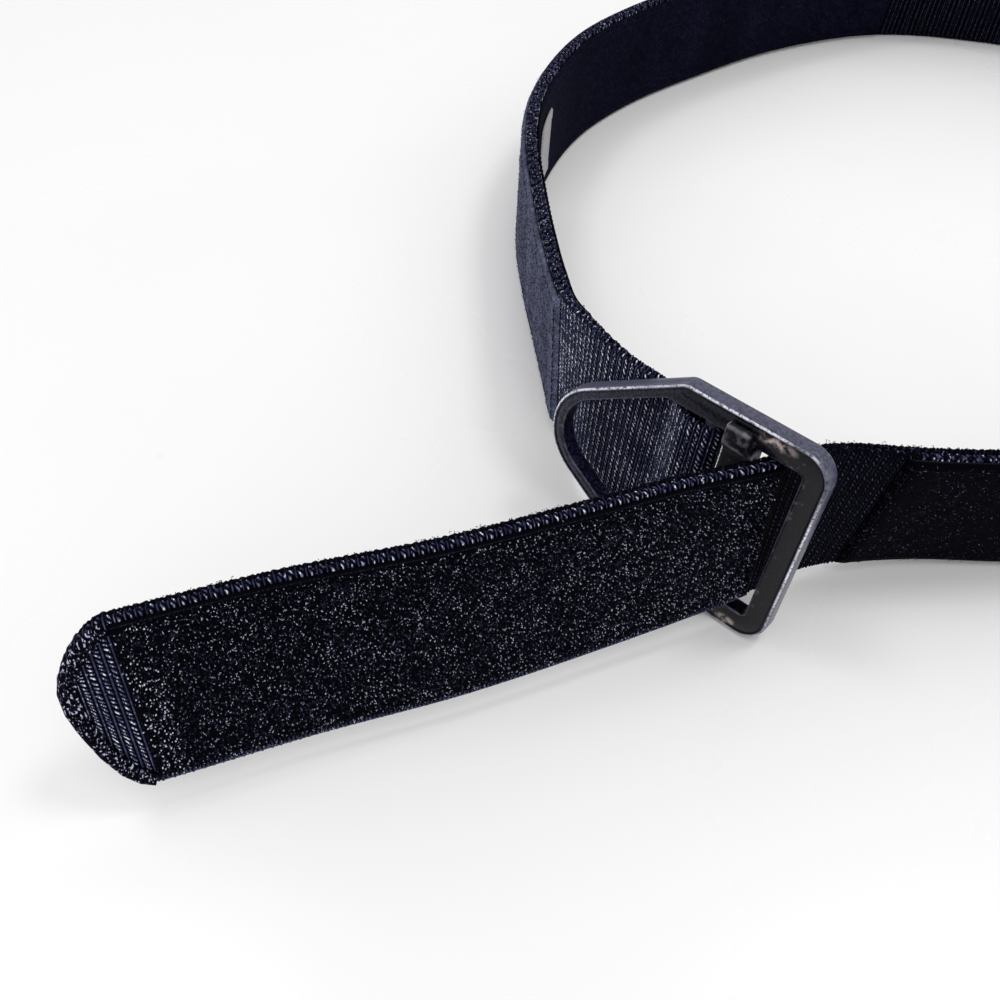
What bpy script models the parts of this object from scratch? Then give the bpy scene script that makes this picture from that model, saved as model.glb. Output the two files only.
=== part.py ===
"""Instructor belt of doubled nylon webbing with a steel V-ring friction buckle.

The belt stands on its lower edge in a wide loop, as it lies on a table. One length of webbing is
folded round the fixed bar of the buckle, and both plies run round the waist, through the slot of
the buckle and on to the tip of the free end. Pile tape covers the outside of the loop, a smooth
lining part of its inside, and hook tape the face of the free end.

Metres, +Z up. The origin is on the surface that the belt stands on, below the middle of its box.
"""

import math
from collections import namedtuple

import bmesh
import bpy
import numpy as np
from mathutils import Matrix, Vector

MM = 0.001
CLEARANCE = 0.3 * MM

# Webbing and tapes
WEBBING_WIDTH = 44.5 * MM
PLY = 1.5 * MM
PLY_OFFSET = (PLY + CLEARANCE) / 2
FACE = PLY + CLEARANCE / 2
PILE_TAPE_THICKNESS = 1.0 * MM
PILE_TAPE_WIDTH = 42.5 * MM
LINING_THICKNESS = 0.8 * MM
LINING_GAP = 0.5 * MM
LINING_WIDTH = 42.0 * MM
HOOK_TAPE_THICKNESS = 1.0 * MM
HOOK_TAPE_WIDTH = 42.0 * MM
ROW_STEP = 6.0 * MM
CURVE_STEP = 0.5 * MM

# Where the hook tape starts and stops, as lengths along the belt from the end of the tip
HOOK_TAPE_START = 13.6 * MM
HOOK_TAPE_END = 160.0 * MM

# Band sewn round the edge of the tip
TIP_BAND_WIDTH = 3.6 * MM
TIP_BAND_THICKNESS = 0.8 * MM

# Blank label sewn to the inside of the belt
LABEL_LENGTH = 20.0 * MM
LABEL_HEIGHT = 25.0 * MM
LABEL_THICKNESS = 0.6 * MM

# Buckle frame, seen from the front: x runs left to the nose, y down, z out of the front face
SLOT_LENGTH = 47.5 * MM
RAIL_WIDTH = 6.5 * MM
END_BAR_WIDTH = 6.3 * MM
FRAME_THICKNESS = 5.0 * MM
FRAME_EDGE = 0.7 * MM
SHOULDER_OUTER = 32.6 * MM
SHOULDER_INNER = 36.5 * MM
NOSE_OUTER_APEX = 80.6 * MM
NOSE_INNER_APEX = 74.2 * MM
NOSE_OUTER_RADIUS = 16.0 * MM
NOSE_INNER_RADIUS = 12.8 * MM
OUTER_CORNER_RADIUS = 7.5 * MM
SHOULDER_RADIUS = 4.0 * MM
INNER_CORNER_RADIUS = 1.5 * MM

# Fixed bar that the webbing is folded round, and the sliding bar that grips the free end
FIXED_BAR_PLACE = 24.8 * MM
FIXED_BAR_RADIUS = 1.8 * MM
FIXED_BAR_DEPTH = 3.2 * MM
SLIDING_BAR_PLACE = 16.2 * MM
SLIDING_BAR_WIDTH = 6.6 * MM
SLIDING_BAR_REACH = 28.4 * MM
SLIDING_BAR_STEP = 22.3 * MM
SLIDING_BAR_HIGH = 2.4 * MM
SLIDING_BAR_MIDDLE = 0.6 * MM
SLIDING_BAR_LOW = 2.8 * MM
SLIDING_BAR_EDGE = 0.35 * MM

# How finely round shapes are cut, and how close two points are merged
CORNER_SEGMENTS = 6
BAR_SIDES = 16
BEVEL_SEGMENTS = 2
BEVEL_ANGLE = math.radians(50.0)
MERGE_DISTANCE = 0.01 * MM

# Pose of the buckle: the middle of the end bar's inner edge, and the way the frame faces
BUCKLE_PLACE = Vector((63.5, 148.2, 30.6)) * MM
BUCKLE_HEADING = math.radians(138.1)
BUCKLE_RISE = math.radians(1.5)
BUCKLE_LEAN = math.radians(-7.7)

# Middle of the belt's box in the plan that the tables below are drawn in
PLAN_CENTRE = Vector((135.85, 302.6, 0.0)) * MM

# The belt's middle line from the tip to the buckle's nose, at half its width. Lean is the angle
# in degrees that the upper edge leans out of the loop, or toward the front of the free end.
Station = namedtuple("Station", "name x_mm y_mm z_mm lean_deg")
STATIONS = (
    Station("end of the tip", -89.5, 105.1, 29.2, -18.6),
    Station("tip shoulders", -77.2, 109.4, 28.9, -19.0),
    Station("free end outer", -44.9, 120.5, 28.6, -18.0),
    Station("free end middle", -9.9, 130.3, 28.9, -14.5),
    Station("free end inner", 24.9, 142.6, 29.4, -11.5),
    Station("before the slot", 43.4, 149.0, 30.3, -9.0),
    Station("in the slot", 58.4, 154.0, 30.7, -5.0),
    Station("behind the end bar", 77.3, 162.8, 28.2, 0.5),
    Station("start of the pile tape", 91.5, 166.1, 26.0, 5.2),
    Station("right front", 108.0, 168.0, 24.3, 7.6),
    Station("right front", 135.0, 168.8, 23.0, 6.0),
    Station("front", 160.0, 169.4, 22.4, 3.0),
    Station("front", 190.0, 171.6, 22.28, 0.0),
    Station("front right", 258.0, 188.0, 22.25, 0.0),
    Station("right", 318.0, 233.0, 22.25, 0.0),
    Station("right", 353.0, 296.0, 22.25, 0.0),
    Station("right", 357.0, 360.0, 22.35, -2.0),
    Station("right back", 334.0, 419.0, 22.4, -5.0),
    Station("right back", 292.0, 462.0, 22.4, -9.0),
    Station("back", 241.4, 485.4, 22.5, -12.0),
    Station("start of the lining", 186.0, 496.6, 22.5, -12.0),
    Station("back", 135.6, 481.2, 22.5, -12.0),
    Station("left back", 93.3, 455.8, 22.45, -9.0),
    Station("left back", 54.8, 426.0, 22.35, -6.0),
    Station("left back", 34.4, 402.4, 22.3, -4.0),
    Station("left", 18.6, 369.5, 22.3, -3.0),
    Station("label", 12.9, 349.0, 22.3, -2.5),
    Station("left", 9.9, 316.0, 22.3, -2.0),
    Station("left", 11.6, 286.0, 22.5, -1.0),
    Station("left front", 14.4, 256.0, 23.8, 0.5),
    Station("left front", 16.4, 237.0, 25.0, 0.5),
    Station("end of the pile tape", 18.6, 220.5, 26.5, -1.0),
    Station("before the nose", 22.0, 209.4, 28.2, -3.5),
    Station("behind the nose", 26.3, 197.2, 30.0, -7.0),
    Station("behind the nose", 31.7, 188.6, 30.5, -7.7),
)

# The fold of the webbing round the fixed bar, in the buckle's own x and z. The front rows lead to
# the bar and the back rows away from it, and an arc round the bar joins them.
FoldPoint = namedtuple("FoldPoint", "x_mm z_mm")
FOLD_FRONT = (FoldPoint(45.0, -7.0), FoldPoint(40.5, -6.6), FoldPoint(37.2, -5.6),
              FoldPoint(33.5, -2.9), FoldPoint(29.8, -0.6))
FOLD_BACK = (FoldPoint(30.8, -6.5), FoldPoint(37.0, -8.0), FoldPoint(45.0, -9.2))
FOLD_ARC_DEG = (75.0, 285.0)
FOLD_ARC_STEPS = 9

# Outline of the tip: distance back from its end, and its upper and lower edges
TipRow = namedtuple("TipRow", "back_mm upper_mm lower_mm")
TIP_ROWS = (
    TipRow(0.0, 7.4, 1.8),
    TipRow(0.5, 9.3, -0.8),
    TipRow(1.25, 11.4, -4.2),
    TipRow(3.25, 15.0, -10.8),
    TipRow(6.0, 18.3, -16.8),
    TipRow(9.0, 20.8, -20.5),
    TipRow(12.0, 22.25, -22.25),
)

NAVY_WEBBING = (0.012, 0.014, 0.03)
BLACK_HOOK = (0.008, 0.008, 0.011)
CHARCOAL_PILE = (0.02, 0.02, 0.028)
DARK_LINING = (0.008, 0.009, 0.022)
BLACK_PAINT = (0.03, 0.03, 0.036)
LABEL_WHITE = (0.72, 0.71, 0.7)


def clear_scene():
    """Remove every object that the scene starts with."""
    for obj in list(bpy.data.objects):
        bpy.data.objects.remove(obj, do_unlink=True)


def make_collection(name):
    """Make a collection and link it to the scene."""
    collection = bpy.data.collections.new(name)
    bpy.context.scene.collection.children.link(collection)
    return collection


def make_material(name, colour, roughness, metallic=0.0):
    """Make a plain Principled material."""
    material = bpy.data.materials.new(name)
    material.use_nodes = True
    shader = material.node_tree.nodes["Principled BSDF"]
    shader.inputs["Base Color"].default_value = (*colour, 1.0)
    shader.inputs["Roughness"].default_value = roughness
    shader.inputs["Metallic"].default_value = metallic
    return material


def add_object(name, mesh, material, collection):
    """Put a mesh in the scene under a node's name."""
    obj = bpy.data.objects.new(name, mesh)
    mesh.materials.append(material)
    collection.objects.link(obj)
    return obj


def unit_rows(rows):
    """Scale each row of an array to unit length."""
    return rows / np.linalg.norm(rows, axis=1)[:, None]


def smooth_curve(knots):
    """Run a smooth curve through the knots, and read it off at even steps of its length.

    The first three columns are a place. Further columns, such as the lean, follow along.
    """
    chord = np.linalg.norm(np.diff(knots[:, :3], axis=0), axis=1)
    at = np.concatenate(([0.0], np.cumsum(chord)))
    slope = np.gradient(knots, at, axis=0)
    fine = np.arange(0.0, at[-1], CURVE_STEP)
    span = np.searchsorted(at, fine, side="right") - 1
    length = (at[span + 1] - at[span])[:, None]
    u = (fine - at[span])[:, None] / length
    curve = ((2 * u**3 - 3 * u**2 + 1) * knots[span]
             + (u**3 - 2 * u**2 + u) * length * slope[span]
             + (3 * u**2 - 2 * u**3) * knots[span + 1]
             + (u**3 - u**2) * length * slope[span + 1])
    run = np.concatenate(([0.0], np.cumsum(np.linalg.norm(np.diff(curve[:, :3], axis=0), axis=1))))
    even = np.linspace(0.0, run[-1], round(run[-1] / ROW_STEP) + 1)
    return np.stack([np.interp(even, run, column) for column in curve.T], axis=1)


def buckle_axes():
    """Return the buckle's unit axes: left to the nose, down the end bar, out of the front face."""
    to_nose = Vector((math.cos(BUCKLE_RISE) * math.cos(BUCKLE_HEADING),
                      math.cos(BUCKLE_RISE) * math.sin(BUCKLE_HEADING),
                      math.sin(BUCKLE_RISE)))
    level_front = Vector((0.0, 0.0, 1.0)).cross(to_nose).normalized()
    square_up = to_nose.cross(level_front)
    down = -math.cos(BUCKLE_LEAN) * square_up - math.sin(BUCKLE_LEAN) * level_front
    return to_nose, down, to_nose.cross(down)


def buckle_matrix():
    """Return the matrix that carries the buckle's own axes to their place in the belt."""
    axes = Matrix(buckle_axes()).transposed().to_4x4()
    return Matrix.Translation(BUCKLE_PLACE - PLAN_CENTRE) @ axes


class Band:
    """A line of places along the belt, each with the direction across its width.

    place is the middle of the band, across points to its upper edge and out to its outer face.
    """

    def __init__(self, place, across):
        self.place = np.asarray(place, float)
        self.across = unit_rows(np.asarray(across, float))
        ahead = unit_rows(np.gradient(self.place, axis=0))
        self.out = unit_rows(np.cross(ahead, self.across))
        runs = np.linalg.norm(np.diff(self.place, axis=0), axis=1)
        self.run = np.concatenate(([0.0], np.cumsum(runs)))

    def at(self, lengths):
        """Return the place, across and out directions at lengths along the line."""
        def read(values):
            return np.stack([np.interp(lengths, self.run, column) for column in values.T], axis=1)
        return read(self.place), unit_rows(read(self.across)), unit_rows(read(self.out))

    def stretch(self, start, end):
        """Return the lengths of the rows between two lengths along the line, and of its ends."""
        apart = ROW_STEP / 8
        inside = self.run[(self.run > start + apart) & (self.run < end - apart)]
        return np.concatenate(([start], inside, [end]))


def belt_middle():
    """Return the belt's middle line from the tip to the buckle's nose."""
    knots = np.array([[s.x_mm * MM, s.y_mm * MM, s.z_mm * MM, s.lean_deg] for s in STATIONS])
    rows = smooth_curve(knots)
    place = rows[:, :3] - np.array(PLAN_CENTRE)
    lean = np.radians(rows[:, 3])[:, None]
    ahead = unit_rows(np.gradient(place, axis=0))
    up = np.array([0.0, 0.0, 1.0]) - ahead * ahead[:, 2:3]
    up = unit_rows(up)
    side = np.cross(ahead, up)
    return Band(place, np.cos(lean) * up + np.sin(lean) * side)


def station_length(band, name):
    """Return how far along the belt a named station of the table lies."""
    station = next(s for s in STATIONS if s.name == name)
    target = Vector((station.x_mm, station.y_mm, station.z_mm)) * MM - PLAN_CENTRE
    return band.run[np.argmin(np.linalg.norm(band.place - np.array(target), axis=1))]


def fold_points():
    """Return the webbing's middle line round the fixed bar, in the belt's own frame."""
    matrix = buckle_matrix()
    radius = FIXED_BAR_RADIUS + CLEARANCE + PLY / 2
    centre_z = -FIXED_BAR_DEPTH
    start, stop = (math.radians(angle) for angle in FOLD_ARC_DEG)
    arc = []
    for angle in np.linspace(start, stop, FOLD_ARC_STEPS):
        arc.append((FIXED_BAR_PLACE + radius * math.cos(angle), centre_z + radius * math.sin(angle)))
    front = [(p.x_mm * MM, p.z_mm * MM) for p in FOLD_FRONT]
    back = [(p.x_mm * MM, p.z_mm * MM) for p in FOLD_BACK]
    return [matrix @ Vector((x, 0.0, z)) for x, z in front + arc + back]


def webbing_band(middle):
    """Return the middle line of the whole webbing: the outer ply, the fold and the inner ply."""
    tip = [row.back_mm * MM for row in TIP_ROWS]
    lengths = np.concatenate((tip[:-1], middle.stretch(tip[-1], middle.run[-1])))
    place, across, out = middle.at(lengths)
    outer = place + out * PLY_OFFSET
    inner = place - out * PLY_OFFSET
    fold = np.array([tuple(point) for point in fold_points()])
    fold_across = np.tile(-np.array(buckle_axes()[1]), (len(fold), 1))
    places = np.concatenate((outer, fold, inner[::-1]))
    crosses = np.concatenate((across, fold_across, across[::-1]))
    widths = tip_edges(np.concatenate((lengths, np.full(len(fold), middle.run[-1]), lengths[::-1])))
    return Band(places, crosses), widths


def tip_edges(lengths):
    """Return the upper and lower edge of the webbing at lengths from the end of the tip."""
    back = [row.back_mm * MM for row in TIP_ROWS]
    upper = np.interp(lengths, back, [row.upper_mm * MM for row in TIP_ROWS])
    lower = np.interp(lengths, back, [row.lower_mm * MM for row in TIP_ROWS])
    return np.stack((upper, lower), axis=1)


def ribbon_mesh(name, lower, upper):
    """Make an open surface between two edges of equal count."""
    shape = bmesh.new()
    rows = [[shape.verts.new(Vector(point)) for point in pair] for pair in zip(lower, upper)]
    for (low, high), (next_low, next_high) in zip(rows, rows[1:]):
        shape.faces.new((low, next_low, next_high, high))
    mesh = bpy.data.meshes.new(name)
    shape.to_mesh(mesh)
    shape.free()
    return mesh


def add_ribbon(name, lower, upper, thickness, material, collection):
    """Add a strip of even thickness, half of it on each side of its surface."""
    obj = add_object(name, ribbon_mesh(name, lower, upper), material, collection)
    shell = obj.modifiers.new("thickness", "SOLIDIFY")
    shell.thickness = thickness
    shell.offset = 0.0
    shell.use_even_offset = True
    return obj


def make_webbing(middle, material, collection):
    """Make the webbing, folded round the fixed bar with its two plies back to back."""
    band, edges = webbing_band(middle)
    lower = band.place + band.across * edges[:, 1:]
    upper = band.place + band.across * edges[:, :1]
    return add_ribbon("webbing", lower, upper, PLY, material, collection)


def make_tape(name, middle, span, offset, size, material, collection):
    """Make a flat tape on one face of the belt, its middle at an offset from the belt's middle.

    The span is the two lengths along the belt that it runs between, the size width and thickness.
    """
    width, thickness = size
    place, across, out = middle.at(middle.stretch(*span))
    centre = place + out * offset
    return add_ribbon(name, centre - across * width / 2, centre + across * width / 2, thickness,
                      material, collection)


def tip_band_outline():
    """Return the outer and the inner edge of the band round the tip, as back and up."""
    upper = [(row.back_mm * MM, row.upper_mm * MM) for row in reversed(TIP_ROWS)]
    lower = [(row.back_mm * MM, row.lower_mm * MM) for row in TIP_ROWS]
    outline = np.array(upper + lower)
    ahead = unit_rows(np.gradient(outline, axis=0))
    inward = np.stack((-ahead[:, 1], ahead[:, 0]), axis=1)
    outer = outline + inward * CLEARANCE
    inner = outline + inward * (CLEARANCE + TIP_BAND_WIDTH)
    inner[:, 0] = np.minimum(inner[:, 0], HOOK_TAPE_START - CLEARANCE)
    return outer, inner


def make_tip_binding(middle, material, collection):
    """Make the narrow band sewn round the edge of the tip, on its outer face."""
    offset = FACE + CLEARANCE + TIP_BAND_THICKNESS / 2
    edges = []
    for edge in tip_band_outline():
        place, across, out = middle.at(edge[:, 0])
        edges.append(place + across * edge[:, 1:] + out * offset)
    return add_ribbon("tip_binding", *edges, TIP_BAND_THICKNESS, material, collection)


def rounded_outline(corners, segments=CORNER_SEGMENTS):
    """Return a closed outline whose corners are arcs. Each corner is x, y and a radius."""
    points = []
    count = len(corners)
    for i, (x, y, radius) in enumerate(corners):
        corner = Vector((x, y))
        before = (Vector(corners[i - 1][:2]) - corner).normalized()
        after = (Vector(corners[(i + 1) % count][:2]) - corner).normalized()
        half = before.angle(after) / 2
        middle = corner + (before + after).normalized() * radius / math.sin(half)
        start = corner + before * radius / math.tan(half) - middle
        turn = start.angle_signed(corner + after * radius / math.tan(half) - middle)
        for k in range(segments + 1):
            spoke = start.copy()
            spoke.rotate(Matrix.Rotation(-turn * k / segments, 2))
            points.append(middle + spoke)
    return points


def frame_outlines():
    """Return the outer and the inner outline of the buckle frame."""
    half_in = SLOT_LENGTH / 2
    half_out = half_in + RAIL_WIDTH
    bar = -END_BAR_WIDTH
    outer = ((bar, half_out, OUTER_CORNER_RADIUS), (SHOULDER_OUTER, half_out, SHOULDER_RADIUS),
             (NOSE_OUTER_APEX, 0.0, NOSE_OUTER_RADIUS), (SHOULDER_OUTER, -half_out, SHOULDER_RADIUS),
             (bar, -half_out, OUTER_CORNER_RADIUS))
    inner = ((0.0, half_in, INNER_CORNER_RADIUS), (SHOULDER_INNER, half_in, SHOULDER_RADIUS),
             (NOSE_INNER_APEX, 0.0, NOSE_INNER_RADIUS), (SHOULDER_INNER, -half_in, SHOULDER_RADIUS),
             (0.0, -half_in, INNER_CORNER_RADIUS))
    return rounded_outline(outer), rounded_outline(inner)


def plate_from_outlines(name, outlines, thickness):
    """Make a flat plate of a thickness from its outlines, the inner ones being holes."""
    curve = bpy.data.curves.new(name, "CURVE")
    curve.dimensions = "2D"
    curve.fill_mode = "BOTH"
    curve.extrude = thickness / 2
    for outline in outlines:
        spline = curve.splines.new("POLY")
        spline.points.add(len(outline) - 1)
        for point, (x, y) in zip(spline.points, outline):
            point.co = (x, y, 0.0, 1.0)
        spline.use_cyclic_u = True
    source = bpy.data.objects.new(name, curve)
    bpy.context.scene.collection.objects.link(source)
    bpy.context.view_layer.update()
    mesh = bpy.data.meshes.new_from_object(source.evaluated_get(bpy.context.evaluated_depsgraph_get()))
    bpy.data.objects.remove(source)
    shape = bmesh.new()
    shape.from_mesh(mesh)
    bmesh.ops.remove_doubles(shape, verts=shape.verts, dist=MERGE_DISTANCE)
    bmesh.ops.recalc_face_normals(shape, faces=shape.faces)
    shape.to_mesh(mesh)
    shape.free()
    return mesh


def add_edge_bevel(obj, width):
    """Round the sharp edges of a metal piece."""
    bevel = obj.modifiers.new("rounded edges", "BEVEL")
    bevel.width = width
    bevel.segments = BEVEL_SEGMENTS
    bevel.limit_method = "ANGLE"
    bevel.angle_limit = BEVEL_ANGLE


def make_fixed_bar_cutter(cutters):
    """Make the round bar that is joined to the frame, as a helper of the union."""
    bpy.ops.mesh.primitive_cylinder_add(vertices=BAR_SIDES, radius=FIXED_BAR_RADIUS,
                                        depth=SLOT_LENGTH + RAIL_WIDTH)
    bar = bpy.context.object
    bar.name = "fixed_bar_helper"
    for collection in list(bar.users_collection):
        collection.objects.unlink(bar)
    cutters.objects.link(bar)
    local = Matrix.Translation((FIXED_BAR_PLACE, 0.0, -FIXED_BAR_DEPTH))
    bar.matrix_world = buckle_matrix() @ local @ Matrix.Rotation(math.pi / 2, 4, "X")
    bar.hide_render = True
    bar.display_type = "WIRE"
    return bar


def make_buckle_frame(material, collection, cutters):
    """Make the V-ring frame with its fixed bar."""
    mesh = plate_from_outlines("buckle_frame", frame_outlines(), FRAME_THICKNESS)
    obj = add_object("buckle_frame", mesh, material, collection)
    obj.matrix_world = buckle_matrix() @ Matrix.Translation((0.0, 0.0, -FRAME_THICKNESS / 2))
    add_edge_bevel(obj, FRAME_EDGE)
    union = obj.modifiers.new("fixed bar", "BOOLEAN")
    union.operation = "UNION"
    union.object = make_fixed_bar_cutter(cutters)
    return obj


def make_sliding_bar(material, collection):
    """Make the bar that slides on the rails, stepped back between them."""
    reach, step = SLIDING_BAR_REACH, SLIDING_BAR_STEP
    shank = SLOT_LENGTH / 2 - CLEARANCE
    high, middle, low = SLIDING_BAR_HIGH, SLIDING_BAR_MIDDLE, -SLIDING_BAR_LOW
    outline = ((-reach, CLEARANCE), (-shank, CLEARANCE), (-shank, low), (shank, low),
               (shank, CLEARANCE), (reach, CLEARANCE), (reach, high), (step, high),
               (step - high + middle, middle), (-step + high - middle, middle), (-step, high),
               (-reach, high))
    mesh = plate_from_outlines("sliding_bar", (outline,), SLIDING_BAR_WIDTH)
    obj = add_object("sliding_bar", mesh, material, collection)
    turned = Matrix(((0.0, 0.0, 1.0), (1.0, 0.0, 0.0), (0.0, 1.0, 0.0))).to_4x4()
    obj.matrix_world = buckle_matrix() @ Matrix.Translation((SLIDING_BAR_PLACE, 0.0, 0.0)) @ turned
    add_edge_bevel(obj, SLIDING_BAR_EDGE)
    return obj


def build_belt():
    """Build every piece of the belt."""
    clear_scene()
    collection = make_collection("instructor_belt")
    cutters = make_collection("cutters")
    webbing = make_material("navy webbing", NAVY_WEBBING, 0.85)
    hook = make_material("black hook tape", BLACK_HOOK, 0.6)
    pile = make_material("charcoal pile tape", CHARCOAL_PILE, 0.95)
    lining = make_material("dark lining tape", DARK_LINING, 0.95)
    paint = make_material("black painted steel", BLACK_PAINT, 0.35, 0.4)
    label = make_material("white label", LABEL_WHITE, 0.8)

    middle = belt_middle()
    nose = station_length(middle, "end of the pile tape")
    seat = FACE + CLEARANCE
    hooks = seat + HOOK_TAPE_THICKNESS / 2
    loops = seat + PILE_TAPE_THICKNESS / 2
    inside = FACE + LINING_GAP + LINING_THICKNESS / 2
    label_seat = inside + LINING_THICKNESS / 2 + LINING_GAP + LABEL_THICKNESS / 2
    label_at = station_length(middle, "label")
    make_webbing(middle, webbing, collection)
    make_tape("hook_tape", middle, (HOOK_TAPE_START, HOOK_TAPE_END), hooks,
              (HOOK_TAPE_WIDTH, HOOK_TAPE_THICKNESS), hook, collection)
    make_tape("pile_tape", middle, (station_length(middle, "start of the pile tape"), nose), loops,
              (PILE_TAPE_WIDTH, PILE_TAPE_THICKNESS), pile, collection)
    make_tape("lining_tape", middle, (station_length(middle, "start of the lining"), nose), -inside,
              (LINING_WIDTH, LINING_THICKNESS), lining, collection)
    make_tape("label", middle, (label_at - LABEL_LENGTH / 2, label_at + LABEL_LENGTH / 2), -label_seat,
              (LABEL_HEIGHT, LABEL_THICKNESS), label, collection)
    make_tip_binding(middle, hook, collection)
    make_buckle_frame(paint, collection, cutters)
    make_sliding_bar(paint, collection)


build_belt()
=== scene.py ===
"""Looks of an instructor belt: ribbed webbing, hook and pile tape, and a painted steel V-ring.

Every piece is built along the course of the belt, in metres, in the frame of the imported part.
"""

import logging
import math
from dataclasses import dataclass, field
from enum import Enum

import bmesh
import bpy
import numpy as np
from mathutils import Matrix, Vector

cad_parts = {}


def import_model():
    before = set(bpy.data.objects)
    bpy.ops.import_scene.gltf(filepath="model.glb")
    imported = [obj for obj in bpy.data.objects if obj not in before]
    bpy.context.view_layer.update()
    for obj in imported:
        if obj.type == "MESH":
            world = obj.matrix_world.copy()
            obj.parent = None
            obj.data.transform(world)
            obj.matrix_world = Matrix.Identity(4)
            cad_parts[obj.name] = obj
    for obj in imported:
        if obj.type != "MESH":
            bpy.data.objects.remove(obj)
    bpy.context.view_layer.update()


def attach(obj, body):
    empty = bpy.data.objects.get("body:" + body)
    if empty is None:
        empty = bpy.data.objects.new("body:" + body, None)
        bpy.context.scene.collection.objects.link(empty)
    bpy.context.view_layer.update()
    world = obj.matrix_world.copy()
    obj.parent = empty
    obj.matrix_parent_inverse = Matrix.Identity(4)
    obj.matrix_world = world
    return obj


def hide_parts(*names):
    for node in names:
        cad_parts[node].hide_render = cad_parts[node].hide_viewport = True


log = logging.getLogger("belt")

MM = 0.001
TAU = 2 * math.pi
BODY = "root"

# Gap between parts that nearly touch, and the stretch just inside the ends of the hook tape,
# where the webbing is hidden and the tape's side stitches run
CLEARANCE = 0.3 * MM
HOOK_WINDOW = (14.5 * MM, 159.0 * MM)

Triple = tuple[float, float, float]
Arrays = tuple[np.ndarray, np.ndarray]


class Slot(Enum):
    """Material slots of the record."""

    WEBBING = "webbing"
    PILE = "pile"
    LINING = "lining"
    HOOK = "hook"
    LABEL = "label"
    PAINT = "paint"


class Ply(Enum):
    """The two layers of webbing."""

    OUTER = "outer"
    INNER = "inner"


@dataclass(frozen=True)
class Station:
    """A point of the belt's middle line, at half its width, in the plan of the part."""

    name: str
    x_mm: float
    y_mm: float
    z_mm: float
    lean_deg: float


STATIONS = (
    Station("end of the tip", -89.5, 105.1, 29.2, -18.6),
    Station("tip shoulders", -77.2, 109.4, 28.9, -19.0),
    Station("free end outer", -44.9, 120.5, 28.6, -18.0),
    Station("free end middle", -9.9, 130.3, 28.9, -14.5),
    Station("free end inner", 24.9, 142.6, 29.4, -11.5),
    Station("before the slot", 43.4, 149.0, 30.3, -9.0),
    Station("in the slot", 58.4, 154.0, 30.7, -5.0),
    Station("behind the end bar", 77.3, 162.8, 28.2, 0.5),
    Station("start of the pile tape", 91.5, 166.1, 26.0, 5.2),
    Station("right front", 108.0, 168.0, 24.3, 7.6),
    Station("right front", 135.0, 168.8, 23.0, 6.0),
    Station("front", 160.0, 169.4, 22.4, 3.0),
    Station("front", 190.0, 171.6, 22.28, 0.0),
    Station("front right", 258.0, 188.0, 22.25, 0.0),
    Station("right", 318.0, 233.0, 22.25, 0.0),
    Station("right", 353.0, 296.0, 22.25, 0.0),
    Station("right", 357.0, 360.0, 22.35, -2.0),
    Station("right back", 334.0, 419.0, 22.4, -5.0),
    Station("right back", 292.0, 462.0, 22.4, -9.0),
    Station("back", 241.4, 485.4, 22.5, -12.0),
    Station("start of the lining", 186.0, 496.6, 22.5, -12.0),
    Station("back", 135.6, 481.2, 22.5, -12.0),
    Station("left back", 93.3, 455.8, 22.45, -9.0),
    Station("left back", 54.8, 426.0, 22.35, -6.0),
    Station("left back", 34.4, 402.4, 22.3, -4.0),
    Station("left", 18.6, 369.5, 22.3, -3.0),
    Station("label", 12.9, 349.0, 22.3, -2.5),
    Station("left", 9.9, 316.0, 22.3, -2.0),
    Station("left", 11.6, 286.0, 22.5, -1.0),
    Station("left front", 14.4, 256.0, 23.8, 0.5),
    Station("left front", 16.4, 237.0, 25.0, 0.5),
    Station("end of the pile tape", 18.6, 220.5, 26.5, -1.0),
    Station("before the nose", 22.0, 209.4, 28.2, -3.5),
    Station("behind the nose", 26.3, 197.2, 30.0, -7.0),
    Station("behind the nose", 31.7, 188.6, 30.5, -7.7),
)
PLAN_CENTRE = Vector((135.85, 302.6, 0.0)) * MM

# The fold of the webbing round the fixed bar, as the buckle's x and z in millimetres
FOLD_FRONT = ((45.0, -7.0), (40.5, -6.6), (37.2, -5.6), (33.5, -2.9), (29.8, -0.6))
FOLD_BACK = ((30.8, -6.5), (37.0, -8.0), (45.0, -9.2))
FOLD_ARC_DEG = (75.0, 285.0)
FOLD_ARC_STEPS = 9


def unit(rows: np.ndarray) -> np.ndarray:
    """Scale each row of an array to unit length."""
    return rows / np.linalg.norm(rows, axis=-1, keepdims=True)


def smoothstep(low: float, high: float, value: np.ndarray) -> np.ndarray:
    """Rise smoothly from 0 at low to 1 at high."""
    u = np.clip((value - low) / (high - low), 0.0, 1.0)
    return u * u * (3 - 2 * u)


def smooth_curve(knots: np.ndarray, step: float) -> np.ndarray:
    """Run a smooth curve through knots and read it off at even steps.

    Args:
        knots: One row a knot. The first three columns are a place, and the rest follow along.
        step: Length between the rows that come back.

    Returns:
        Rows like the knots, at even steps of the curve's length.
    """
    chord = np.linalg.norm(np.diff(knots[:, :3], axis=0), axis=1)
    at = np.concatenate(([0.0], np.cumsum(chord)))
    slope = np.gradient(knots, at, axis=0)
    fine = np.arange(0.0, at[-1], step / 2)
    span = np.searchsorted(at, fine, side="right") - 1
    length = (at[span + 1] - at[span])[:, None]
    u = (fine - at[span])[:, None] / length
    curve = ((2 * u**3 - 3 * u**2 + 1) * knots[span]
             + (u**3 - 2 * u**2 + u) * length * slope[span]
             + (3 * u**2 - 2 * u**3) * knots[span + 1]
             + (u**3 - u**2) * length * slope[span + 1])
    run = np.concatenate(([0.0], np.cumsum(np.linalg.norm(np.diff(curve[:, :3], axis=0), axis=1))))
    even = np.linspace(0.0, run[-1], round(run[-1] / step) + 1)
    return np.stack([np.interp(even, run, column) for column in curve.T], axis=1)


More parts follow.
